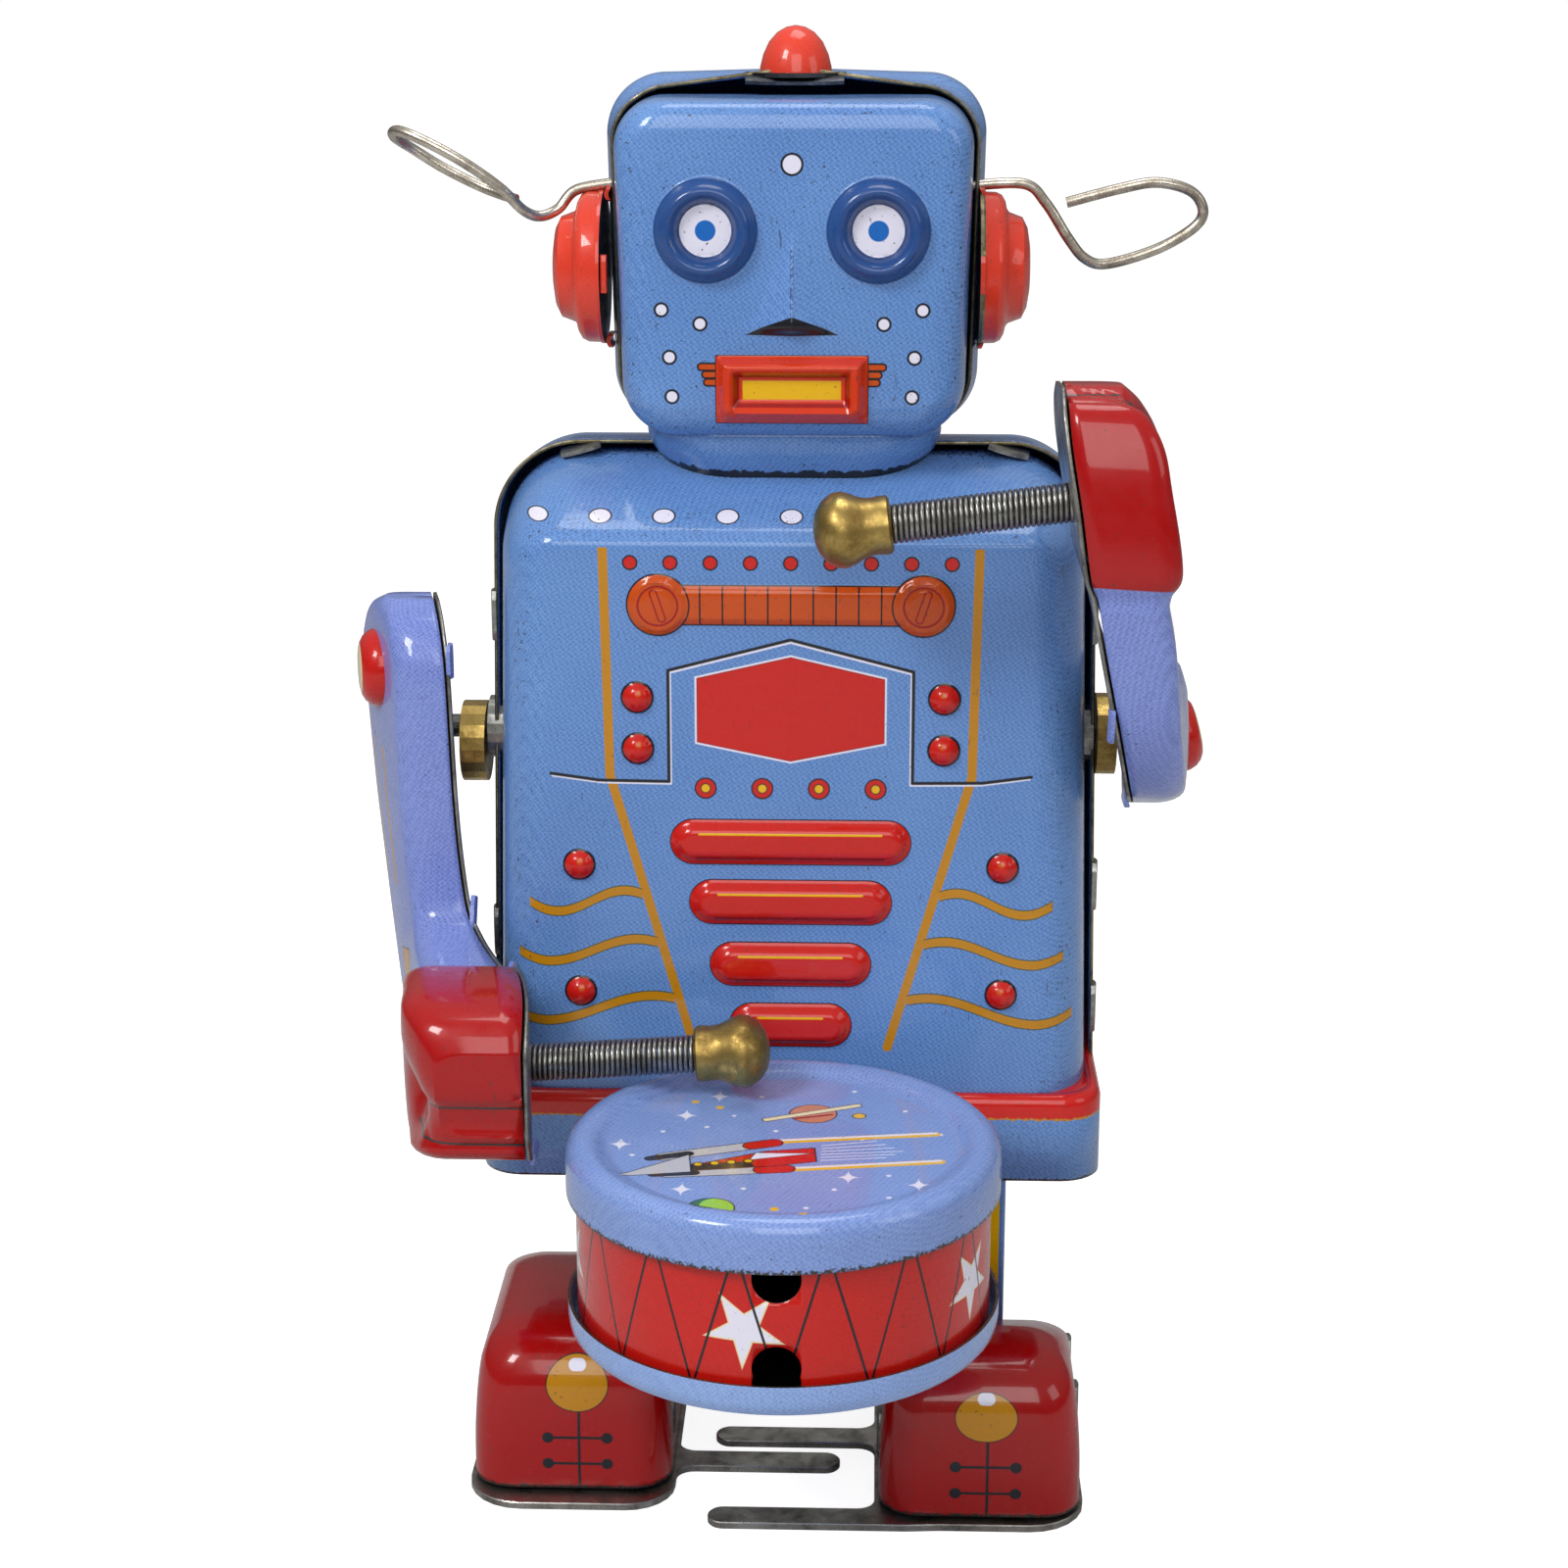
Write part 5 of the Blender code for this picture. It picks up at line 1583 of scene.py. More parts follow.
def drum_wall_art(ink: Print) -> None:
    """Red wall with white stars between black zigzag laces.

    Args:
        ink: The print to draw on.
    """
    sheet = ink.sheet
    deep = sheet.minus(Drum.CENTRE[1], ink.y)
    angle = sheet.times(sheet.math("ARCTAN2", ink.x, deep), 180.0 / math.pi)
    lace = sheet.size(ink.repeat(angle, 24.0, -10.8))
    arc = sheet.times(lace, math.radians(Drum.WALL_R))
    half = math.radians(Drum.WALL_R) * 12.0
    star_x = sheet.times(ink.repeat(angle, 72.0, -8.6), math.radians(Drum.WALL_R))
    plane = sheet.join(star_x, sheet.minus(ink.z, 44.0))
    star: Optional[bpy.types.NodeSocket] = None
    for index in range(5):
        heading = math.radians(-92.0 + 72.0 * index)
        tip = (4.1 * math.cos(heading), 4.1 * math.sin(heading))
        wing = (-1.32 * math.sin(heading), 1.32 * math.cos(heading))
        blade = ink.polygon(plane, ((-wing[0], -wing[1]), tip, wing))
        star = blade if star is None else sheet.math("MINIMUM", star, blade)
    ink.lay(Ink.CREAM, star, 0.22)
    ink.lay(Ink.LILAC, star, 0.05)
    low, high = Drum.LACE
    line = ink.stroke(sheet.join(arc, ink.z), (0.0, high), (half, low))
    ink.lay(Ink.BLACK, line, 0.15)


def arm_art(ink: Print) -> None:
    """Arm print: two stripes and an arrow outside, and a red fist with painted shade in its creases.

    Args:
        ink: The print to draw on.
    """
    sheet = ink.sheet
    outside = sheet.above(ink.x, 47.0)
    profile = sheet.join(ink.y, ink.z)
    for forward in (-4.4, 0.6):
        stripe = ink.stroke(profile, (forward, -3.0), (forward + 2.4, -20.0))
        ink.lay(Ink.MUSTARD, stripe, 0.4, outside)
    arrow = ink.polygon(profile, ((5.4, -27.8), (8.8, -31.6), (14.0, -31.0), (9.6, -26.8)))
    ink.lay(Ink.BLACK, arrow, 0.25, outside)
    ink.lay(Ink.MUSTARD, arrow, 0.0, outside)
    lowered = sheet.below(ink.z, -18.0)
    cuff = sheet.plus(ink.y, sheet.times(ink.x, 0.06))
    ink.paint(ink.both(sheet.remap(cuff, 25.6, 25.75), lowered), Ink.DEEP_RED)
    ink.paint(ink.both(sheet.remap(cuff, 25.8, 26.0), lowered), Ink.SHOE_RED)
    # Painted shade in the fist's pressed finger creases.
    for level, start in zip(Arm.CREASES, (33.5, 37.0)):
        crease_shade = sheet.size(sheet.minus(ink.z, level))
        reach = sheet.above(ink.y, start)
        ink.lay(Ink.CHIP, crease_shade, 0.16, reach)


def shoe_art(ink: Print) -> None:
    """Shoe print: a mustard disc on the toe with a painted highlight, a lace drawing, and painted shade along
    the bottom edge above the sole.

    Args:
        ink: The print to draw on.
    """
    sheet = ink.sheet
    front = sheet.below(ink.y, 0.0)
    plane = sheet.join(ink.x, ink.z)
    for middle, height, reach, squash, laces in ((-26.3, 15.2, 3.8, 1.13, (8.3, 4.8)),
                                                 (24.4, 14.4, 3.75, 1.28, (8.1, 4.6))):
        black = ink.within(ink.stroke(plane, (middle + 0.2, height), (middle + 0.2, 1.8)), 0.18)
        ink.paint(ink.both(black, front), Ink.BLACK)
        for level in laces:
            ends = ((middle - 3.7, level), (middle + 3.7, level))
            ink.lay(Ink.BLACK, ink.stroke(plane, *ends), 0.18, front)
            for end in ends:
                ink.lay(Ink.BLACK, ink.spot(plane, end), 0.72, front)
        disc = ink.spot(sheet.join(ink.x, sheet.times(ink.z, squash)), (middle, height * squash))
        ink.lay(Ink.BLACK, disc, reach + 0.14, front)
        ink.lay(Ink.MUSTARD, disc, reach, front)
        # Painted highlight near the top of the disc.
        glint = ink.stroke(plane, (middle - 0.4, height + 0.6 * reach), (middle + 0.4, height + 0.6 * reach))
        ink.lay(Ink.LILAC, glint, 0.68, front)
    # Dark painted shade with a ragged edge along the shoe's bottom, where it meets the sole.
    sole_gap_shade = sheet.plus(ink.z, ink.ragged(2.2, 3.0, 0.3))
    ink.paint(sheet.remap(sole_gap_shade, 1.9, 1.65), Ink.CHIP)


def leg_art(ink: Print) -> None:
    """Leg print: a yellow stripe along the outer edge.

    Args:
        ink: The print to draw on.
    """
    side = ink.sheet.size(ink.x)
    ink.paint(ink.between(side, 24.6, 26.6), Ink.YELLOW)


# ------------------------------------------------------------------ sub-assemblies

@dataclass
class BodyCase:
    """The body's two pressed shells, the neck and the skirt.

    The shells' stations are as in PressedPan. A neck station is (half width, front, rear, radius, z).
    """

    finishes: Finishes
    front: Sequence[Sequence[float]] = (
        (0.0, 29.0, 30.2, 50.0, 119.8, 0.8, 0.8), (1.0, 31.6, 33.0, 49.8, 121.2, 4.0, 1.0),
        (4.0, 34.0, 35.6, 49.7, 123.2, 7.0, 1.0), (9.0, 35.1, 36.8, 49.6, 126.0, 9.0, 1.0),
        (16.5, 35.4, 37.1, 49.6, 128.6, 10.0, 1.0))
    rear: Sequence[Sequence[float]] = (
        (38.0, 29.0, 30.6, 49.8, 121.0, 4.0, 1.0), (36.5, 33.2, 34.8, 49.6, 124.2, 6.5, 1.0),
        (32.0, 36.1, 37.7, 49.0, 128.0, 9.5, 1.4), (14.5, 36.8, 38.3, 48.7, 129.9, 11.0, 1.8))
    neck: Sequence[Sequence[float]] = (
        (17.2, 8.0, 33.4, 7.0, 133.0), (17.8, 7.2, 33.2, 8.0, 131.4), (17.3, 7.5, 32.6, 8.4, 129.6),
        (16.5, 8.3, 32.0, 8.6, 128.0), (15.9, 9.2, 31.6, 8.6, 126.6), (15.7, 9.6, 31.4, 8.6, 125.6))

    def _neck(self) -> bpy.types.Object:
        """The chin's underside, drawn in to the neck hole."""
        loops = []
        for half, ahead, behind, radius, z in curve_through(self.neck, 5):
            loops.append([(x, y, z) for x, y in rounded_outline(half, ahead, behind, radius)])
        points, faces = skin(loops[::-1])
        neck = make_piece("neck_tin", points, faces, [self.finishes.neck, self.finishes.edge], 50.0)
        thicken(neck)
        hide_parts("neck_collar")
        return neck

    def _skirt(self) -> bpy.types.Object:
        """The skirt's smooth outer skin, drawn over its rim."""
        low, high = Datum.box("base_skirt")
        loops = []
        rings = ((1.5, 4.0, high.z + 0.1), (0.6, 4.6, high.z + 0.06), (0.08, 5.0, high.z - 0.5),
                 (-0.14, 5.2, high.z - 1.2), (-0.14, 5.2, low.z))
        for inset, radius, z in rings:
            outline = rounded_outline(high.x - inset, low.y + inset, high.y - inset, radius)
            loops.append([(x, y, z) for x, y in outline])
        points, faces = skin(loops[::-1])
        skirt = make_piece("skirt_skin", points, faces, [self.finishes.skirt, self.finishes.edge], 50.0)
        thicken(skirt, 0.1)
        return skirt

    def _tabs(self) -> List[bpy.types.Object]:
        """Tabs of the rear shell, folded over the front shell."""
        shoulder = [((side * 26.0, 15.0, 129.0), (0.96, 0.0, -0.26 * side), (0.26 * side, -0.12, 0.96))
                    for side in (-1.0, 1.0)]
        sides = [((side * half, 15.2, z), (0.0, 0.0, 1.0), (side, 0.0, 0.0))
                 for side, half, z in ((-1.0, 37.2, 108.0), (-1.0, 38.0, 67.0), (1.0, 37.2, 108.0),
                                       (1.0, 38.0, 73.7), (1.0, 38.3, 57.4))]
        top = tab_row("shoulder_tabs", shoulder, (5.0, 3.4, 0.5), self.finishes.steel)
        flank = tab_row("flank_tabs", sides, (6.2, 3.4, 0.5), self.finishes.steel)
        return [top, flank]

    def build(self) -> List[bpy.types.Object]:
        """Make the shells.

        Returns:
            The pieces.
        """
        finishes = self.finishes
        chest = PressedPan("body_front", self.front, -1.0, 130, 150, 14, ChestRelief.height)
        chest = chest.build([finishes.chest, finishes.edge])
        back = PressedPan("body_rear", self.rear, 1.0, 40, 50, 22).build([finishes.back, finishes.edge])
        for piece, node in ((chest, "body_front_shell"), (back, "body_rear_shell")):
            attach(piece, "body")
            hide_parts(node)
        finishes.dress("base_skirt", finishes.skirt)
        for node in ("drum_bracket", "arm_bush_left", "arm_bush_right"):
            finishes.dress(node, finishes.steel)
        extra = [self._neck(), self._skirt(), *self._tabs()]
        for piece in extra:
            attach(piece, "body")
        return [chest, back, *extra]


@dataclass
class HeadCase:
    """The head's shells, with ears, lamp and aerials."""

    EAR_Z = 150.3

    finishes: Finishes
    front: Sequence[Sequence[float]] = (
        (4.0, 17.2, 16.4, 135.4, 167.4, 0.8, 0.8), (4.8, 19.5, 18.7, 133.2, 169.6, 5.2, 5.2),
        (7.0, 20.7, 19.9, 131.7, 170.4, 5.6, 6.2), (12.0, 21.1, 20.5, 131.3, 170.6, 5.8, 6.5),
        (19.0, 21.3, 20.7, 131.3, 170.6, 5.8, 6.5))
    rear: Sequence[Sequence[float]] = (
        (36.0, 18.0, 17.4, 135.4, 167.8, 4.0, 4.0), (35.0, 20.6, 20.0, 133.0, 170.0, 5.4, 5.4),
        (32.0, 22.5, 21.9, 131.0, 172.0, 6.8, 6.8), (23.5, 22.9, 22.3, 130.6, 172.9, 7.0, 7.2),
        (19.5, 22.4, 21.8, 130.7, 171.9, 7.0, 7.3), (17.0, 22.0, 21.4, 130.8, 171.3, 6.4, 7.3))
    aerial_right: Sequence[Point] = (
        (21.0, 18.0, 160.0), (27.3, 18.0, 160.2), (29.9, 18.0, 158.0), (32.7, 18.0, 153.8),
        (34.8, 18.0, 151.4), (37.5, 18.3, 150.8), (43.3, 18.6, 152.5), (47.6, 18.6, 155.0),
        (48.7, 18.5, 157.1), (47.1, 18.2, 159.4), (43.0, 18.0, 160.4), (38.4, 18.0, 159.6),
        (32.4, 18.2, 158.0))
    aerial_left: Sequence[Point] = (
        (-21.0, 18.0, 160.3), (-26.2, 18.0, 159.4), (-28.4, 17.4, 157.2), (-30.5, 16.4, 156.4),
        (-32.4, 15.4, 157.2), (-34.9, 14.4, 159.8), (-38.9, 13.8, 162.7), (-43.5, 13.8, 165.2),
        (-47.0, 15.4, 166.4), (-48.0, 18.2, 165.6), (-45.9, 20.8, 163.8), (-42.5, 21.6, 161.6),
        (-37.8, 21.0, 159.4), (-33.6, 18.6, 158.2))

    def build(self) -> List[bpy.types.Object]:
        """Make the head.

        Returns:
            The pieces.
        """
        finishes = self.finishes
        face = PressedPan("head_front", self.front, -1.0, 150, 140, 14, FaceRelief.height)
        face = face.build([finishes.face, finishes.edge])
        rear = PressedPan("head_rear", self.rear, 1.0, 60, 40, 24, peak=2.6)
        rear = rear.build([finishes.plain_blue, finishes.edge])
        pieces = [face, rear]
        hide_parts("head_front_shell")
        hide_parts("head_rear_shell")
        lamp = Turned("lamp_cap", ((0.0, 5.6), (1.1, 5.4), (2.2, 4.8), (3.2, 3.7), (3.9, 2.2), (4.25, 0.8),
                                   (4.3, 0.0), (0.0, 0.0)), (0.0, 20.0, 172.9)).build([finishes.coral])
        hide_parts("lamp_dome")
        # A dark steel sheet under the lamp cap: painted shade below the cap's rim.
        shade_sheet = tab_row("lamp_shade_sheet", (((0.0, 15.6, 172.5), (1.0, 0.0, 0.0), (0.0, -0.2, 0.98)),),
                        (11.6, 3.0, 0.4), finishes.dark)
        pieces += [lamp, shade_sheet]
        for side, path in ((Side.LEFT, self.aerial_left), (Side.RIGHT, self.aerial_right)):
            wire = wire_piece(f"aerial_wire_{side.word}", path, 0.65, finishes.wire)
            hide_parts(f"aerial_{side.word}")
            ear = self._ear(side)
            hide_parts(f"ear_cap_{side.word}")
            pieces += [wire, ear]
        for piece in pieces:
            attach(piece, "body")
        finishes.dress("lamp_clip", finishes.dark)
        spots = ((9.4, self.EAR_Z, (0.0, 0.0, 1.0)), (26.6, self.EAR_Z, (0.0, 0.0, 1.0)),
                 (18.0, 141.6, (0.0, 1.0, 0.0)), (18.0, 159.0, (0.0, 1.0, 0.0)))
        stands = [((side.value * 22.5, y, z), across, (side.value, 0.0, 0.0))
                  for side in Side for y, z, across in spots]
        tabs = tab_row("ear_tabs", stands, (4.4, 1.8, 0.5), finishes.coral)
        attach(tabs, "body")
        pieces.append(tabs)
        return pieces

    def _ear(self, side: Side) -> bpy.types.Object:
        """A stepped, domed ear cup."""
        profile = ((0.0, 6.2), (3.0, 6.1), (4.8, 5.8), (6.0, 5.2), (6.6, 3.6), (7.0, 3.3), (7.9, 3.1),
                   (8.6, 2.7), (8.95, 2.0), (9.0, 0.6), (9.15, 0.4), (9.15, 0.0), (0.0, 0.0))
        finishes = self.finishes
        root = (22.0 if side is Side.RIGHT else -22.9, 18.0, self.EAR_Z)
        ear = Turned(f"ear_{side.word}", profile, root, (side.value, 0.0, 0.0))
        ear = ear.build([finishes.coral, finishes.edge, finishes.dark])
        mark_slot(ear, 1, lambda p, n: abs(p.x) < 22.6)
        # The base facing the head in dark steel: painted shade of the gap between ear and head.
        mark_slot(ear, 2, lambda p, n: n.x * side.value < -0.9)
        return ear


@dataclass
class Drum:
    """The drum held at the front: two caps and a printed wall.

    CENTRE is its middle in plan. The dots and sparkles on its top are places from that middle.
    """

    CENTRE = (0.0, -27.2)
    WALL_R = 23.8
    LACE = (36.4, 53.2)
    HOLES = (49.9, 39.4, 37.6)
    HOLE_R = 2.7
    DOTS = (((-14.0, 3.0), 0.3), ((-9.0, 4.5), 0.3), ((-3.0, 14.0), 0.3), ((8.0, 16.0), 0.3),
            ((14.0, 10.0), 0.3), ((18.0, 3.0), 0.3), ((-17.0, -4.0), 0.3), ((-4.0, -13.0), 0.3),
            ((6.0, -13.0), 0.3), ((12.0, -15.0), 0.3), ((3.0, -18.0), 0.3), ((-14.0, -16.0), 0.3),
            ((-1.0, 3.5), 0.3), ((12.0, -9.0), 0.3), ((9.0, 1.2), 0.25), ((-6.0, 8.0), 0.25))
    GOLD_DOTS = (((-10.8, 12.2), 0.5), ((-7.8, 10.5), 0.5), ((2.8, -21.9), 0.5), ((-0.4, -18.4), 0.5),
                 ((-3.6, 21.7), 0.5))
    SPARKLES = ((-11.6, 7.9), (-18.6, -0.9), (7.5, -9.6), (-10.8, -13.4), (15.3, -11.5), (-8.0, 14.0))

    finishes: Finishes

    def build(self) -> List[bpy.types.Object]:
        """Make the drum.

        Returns:
            The pieces.
        """
        centre = (*self.CENTRE, 0.0)
        finishes = self.finishes
        top = Turned("drum_top", ((0.0, 55.75), (19.4, 55.75), (20.3, 55.85), (21.0, 56.35), (21.9, 56.85),
                                  (22.9, 57.0), (23.8, 56.8), (24.5, 56.2), (24.85, 55.3), (24.9, 54.2),
                                  (24.9, 51.0), (24.5, 51.0), (24.5, 54.2), (24.4, 55.1), (24.0, 55.8),
                                  (22.9, 56.5), (21.9, 56.35), (21.0, 55.85), (20.3, 55.4), (0.0, 55.35)),
                     centre, segments=160).build([finishes.cap])
        wall = Turned("drum_side", (
            (23.8, 35.4), (23.8, 42.8), (23.8, 46.6), (23.8, 55.0), (23.4, 55.0), (23.4, 46.6), (23.4, 42.8),
            (23.4, 35.4)), centre, segments=160, closed=True).build([finishes.wall, finishes.dark])
        cut_away(wall, [(0.0, self.CENTRE[1] - 24.0, z) for z in self.HOLES], self.HOLE_R)
        low = Turned("drum_bottom", ((0.0, 34.4), (20.8, 34.4), (21.8, 34.0), (23.0, 33.8), (24.1, 34.1),
                                     (24.75, 34.9), (24.9, 35.9), (24.9, 37.8), (24.55, 37.8),
                                     (24.55, 35.9), (24.4, 35.1), (23.9, 34.5), (23.0, 34.2), (21.9, 34.4),
                                     (20.9, 34.8), (0.0, 34.8)), centre, segments=160)
        low = low.build([finishes.low_cap, finishes.edge, finishes.dark])
        mark_slot(low, 1, lambda p, n: n.z > 0.8 and p.z > 37.5)
        # Dark steel on the bottom cap's upper face and on the wall's inside, hole sides and rims: painted
        # shade of the drum's inside, seen through the holes.
        mark_slot(low, 2, lambda p, n: n.z > 0.3 and math.hypot(p.x, p.y - self.CENTRE[1]) < 23.4)
        mark_slot(wall, 1, lambda p, n: n.x * p.x + n.y * (p.y - self.CENTRE[1]) < 1.0)
        for piece, node in ((top, "drum_top_cap"), (wall, "drum_wall"), (low, "drum_bottom_cap")):
            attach(piece, "body")
            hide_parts(node)
        return [top, wall, low]


@dataclass
class Arm:
    """One jointed arm: pressed half-round sheet, steel cover, and a sprung stick with its bead.

    A station is (forward, up, the section's direction in degrees, half width, inner x, outer x) on the
    lowered arm, with forward and up measured from the shoulder's pivot.
    """

    CREASES = (-33.9, -38.6)
    TABS = ((0.18, 0.93), (0.3, -0.93), (0.42, 0.93), (0.5, -0.93), (0.66, 0.93), (0.86, -0.93))
    STEPS = 8
    OUTER_X = 52.7
    BOSS_UP = 7.1
    COVER_GAP = 0.75
    TAB_GAP = 1.1
    COIL_R = 2.0
    COIL_WIRE = 0.29
    COIL_PITCH = 0.62
    BEAD_LENGTH = 8.6

    finishes: Finishes
    side: Side
    lift: float
    play: float
    stick_start: Point
    stick_aim: Point
    stations: Sequence[Sequence[float]] = (
        (-1.0, 16.4, -90.0, 2.6, 45.4, 51.2), (-1.0, 14.6, -90.0, 5.8, 45.2, 52.4),
        (-1.0, 11.6, -90.0, 8.3, 45.0, 52.8), (-1.0, 7.1, -90.0, 9.5, 44.8, 52.8),
        (0.6, -8.0, -88.0, 8.0, 44.0, 52.0), (2.2, -18.0, -82.0, 7.2, 43.0, 51.0),
        (4.6, -25.6, -58.0, 7.3, 41.8, 49.8), (10.6, -30.4, -25.0, 7.6, 39.6, 48.2),
        (20.4, -32.6, -10.0, 8.2, 36.4, 45.4), (23.2, -32.6, -8.0, 8.7, 35.6, 45.2),
        (25.6, -32.6, -4.0, 9.7, 34.4, 46.3), (33.0, -32.4, 0.0, 10.2, 32.8, 45.2),
        (39.0, -32.2, 0.0, 9.8, 31.8, 44.4), (43.0, -32.2, 0.0, 8.4, 31.4, 42.2),
        (45.2, -32.2, 0.0, 5.4, 31.4, 39.8))
    toe: float = 1.5
    slim: float = 0.3
    skew: float = 0.22
    wedge: float = 0.18
    tabs: int = 6
    pivot: Point = (0.0, 18.0, 93.0)
    corner: float = 1.7

    def settle(self, points: Iterable[Sequence[float]]) -> List[Vector]:
        """Carry points of the lowered arm's frame (x, -forward, up) to the robot's frame."""
        turn = Matrix.Rotation(-math.radians(self.lift), 3, "X")
        moved = [turn @ Vector(point) for point in points]
        return [Vector((self.side.value * p.x, p.y, p.z)) + Vector(self.pivot) for p in moved]

    def _near(self, station: Vector, across: float) -> float:
        """Place of the arm's inner side at a station, twisted in toward the drum."""
        forward, _, direction, _, inner_x, _ = station
        twist = -self.skew * math.sin(math.radians(direction)) * across
        return inner_x - self.play - twist - self.toe * smoothstep(8.0, 34.0, forward)

    @staticmethod
    def _spot(station: Vector, across: float) -> Tuple[float, float]:
        """Place along Y and up of a spot across the arm at a station."""
        forward, up, angle = station[0], station[1], math.radians(station[2])
        return -(forward - math.sin(angle) * across), up + math.cos(angle) * across

    def _section(self, station: Vector) -> List[Point]:
        """The sheet's cross-section at a station.

        Args:
            station: The station.

        Returns:
            The section's points, from the inner edge over the outside to the other inner edge.
        """
        bulge = 5
        forward, _, direction, half, inner_x, outer_x = station
        thinned = self.slim * (0.25 + 0.75 * smoothstep(20.0, 8.0, forward))
        near, far = inner_x - self.play, outer_x - self.play - thinned
        lean = -(self.skew + self.wedge) * math.sin(math.radians(direction))
        corner = min(self.corner, 0.6 * half)
        flat: List[Tuple[float, float]] = [(near, -half), (0.5 * (near + far - corner), -half)]
        for step in range(bulge + 1):
            turn = 0.5 * math.pi * step / bulge
            flat.append((far - corner + corner * math.sin(turn), -half + corner - corner * math.cos(turn)))
        for step in range(1, 10):
            share = step / 10
            flat.append((far + 0.3 * math.sin(math.pi * share), (half - corner) * (2.0 * share - 1.0)))
        for step in range(bulge + 1):
            turn = 0.5 * math.pi * step / bulge
            flat.append((far - corner + corner * math.cos(turn), half - corner + corner * math.sin(turn)))
        flat += [(0.5 * (near + far - corner), half), (near, half)]
        section = []
        for x, across in flat:
            share = min(max((x - near) / (far - near), 0.0), 1.0)
            x = self._near(station, across) * (1.0 - share) + (x - lean * across) * share
            section.append((x, *self._spot(station, across)))
        return section

    def build(self) -> List[bpy.types.Object]:
        """Make the arm.

        Returns:
            The pieces.
        """
        word, finishes = self.side.word, self.finishes
        run = curve_through(self.stations, self.STEPS)
        loops = [self._section(station) for station in run]
        head, tail = ([self._closed_in(loop, share) for share in shares]
                      for loop, shares in ((loops[0], (0.02, 0.5)),
                                           (loops[-1], (0.92, 0.8, 0.64, 0.48, 0.32, 0.16, 0.02))))
        loops = [[tuple(p) for p in loop] for loop in (*head, *loops, *tail)]
        points, faces = skin(loops, closed_ring=False)
        if self.side is Side.LEFT:
            faces = [face[::-1] for face in faces]
        place = [(x, -y, z) for x, y, z in points]
        points = [self._fist(Vector(point)) for point in points]
        shell = make_piece(f"arm_sheet_{word}", self.settle(points), faces, [finishes.arm, finishes.edge],
                           40.0)
        set_attribute(shell, "place", place, "FLOAT_VECTOR")
        thicken(shell)
        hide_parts(f"arm_shell_{word}")
        pieces = [shell, self._spring(), self._bead(), self._boss(), self._tabs(), self._plate()]
        for piece in pieces:
            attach(piece, f"arm_{word}")
        finishes.dress(f"arm_hub_{word}", finishes.brass)
        finishes.dress(f"arm_spindle_{word}", finishes.steel)
        return pieces

    @staticmethod
    def _closed_in(loop: Sequence[Point], share: float) -> List[Vector]:
        """A section shrunk to a share of its size about the middle of its open side."""
        middle = Vector(loop[0]).lerp(Vector(loop[-1]), 0.5)
        return [Vector(point).lerp(middle, 1.0 - share) for point in loop]

    def _fist(self, point: Vector) -> Vector:
        """Press the finger folds into the hand.

        Args:
            point: A point of the lowered arm's frame.

        Returns:
            The pressed point.
        """
        x, forward, up = point.x, -point.y, point.z
        if forward < 26.0:
            return point
        front = smoothstep(30.0, 42.0, forward)
        middle = math.exp(-((up + 36.2) / 2.6) ** 2)
        outer = smoothstep(36.0 - self.play, 44.0 - self.play, x)
        hollow = math.exp(-(((forward - 38.0) / 5.0) ** 2 + ((up + 35.0) / 4.0) ** 2))
        grooves = sum(math.exp(-((up - level) / 0.55) ** 2) for level in self.CREASES)
        forward -= front * (1.5 * middle + 0.5 * grooves) + 2.0 * outer * hollow
        x -= 3.2 * outer * hollow + outer * front * 0.5 * grooves
        return Vector((x, -forward, up))

    def _plate(self) -> bpy.types.Object:
        """The steel cover on the arm's inner side."""
        loops = []
        for station in curve_through(self.stations, self.STEPS):
            loops.append([(self._near(station, across) - self.COVER_GAP, *self._spot(station, across))
                          for across in (station[3] * (step / 5.0 - 1.0) for step in range(11))])
        points, faces = skin(loops, closed_ring=False)
        if self.side is Side.RIGHT:
            faces = [face[::-1] for face in faces]
        plate = make_piece(f"arm_cover_{self.side.word}", self.settle(points), faces,
                           [self.finishes.plate, self.finishes.steel], 40.0)
        thicken(plate)
        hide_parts(f"arm_plate_{self.side.word}")
        return plate

    def _boss(self) -> bpy.types.Object:
        """The domed button at the shoulder."""
        outer = self.OUTER_X - self.play - self.slim
        start, end = self.settle([(outer - 0.4, 1.6, self.BOSS_UP), (outer + 0.57, 1.36, self.BOSS_UP)])
        profile = ((0.0, 3.1), (2.4, 3.05), (3.3, 2.85), (4.1, 2.4), (4.7, 1.7), (5.0, 0.9), (5.1, 0.0),
                   (0.0, 0.0))
        boss = Turned(f"shoulder_button_{self.side.word}", profile, tuple(start),
                      tuple((end - start).normalized()), 48).build([self.finishes.red, self.finishes.cream])
        mark_slot(boss, 1, lambda p, n: (p - start).dot(end - start) > 2.86)
        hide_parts(f"arm_boss_{self.side.word}")
        return boss

    def _tabs(self) -> bpy.types.Object:
        """Tabs of the arm's sheet, folded over its steel cover."""
        run = curve_through(self.stations, self.STEPS)
        stands = []
        for share, edge in self.TABS[:self.tabs]:
            station, after = (run[int(share * (len(run) - 1)) + step] for step in (0, 1))
            across = edge * station[3]
            spot = Vector((self._near(station, across) - self.TAB_GAP, *self._spot(station, across)))
            along = Vector((0.0, station[0] - after[0], after[1] - station[1]))
            here, there, facing = self.settle([spot, spot + along, spot - Vector((1.0, 0.0, 0.0))])
            stands.append((tuple(here), tuple((there - here).normalized()), tuple(facing - here)))
        return tab_row(f"arm_tabs_{self.side.word}", stands, (4.2, 2.4, 0.5), self.finishes.arm_plain)

    def _stick(self) -> Tuple[Vector, Vector]:
        """Where the drumstick starts and ends in the robot's frame."""
        return tuple(self.settle([self.stick_start, self.stick_aim]))

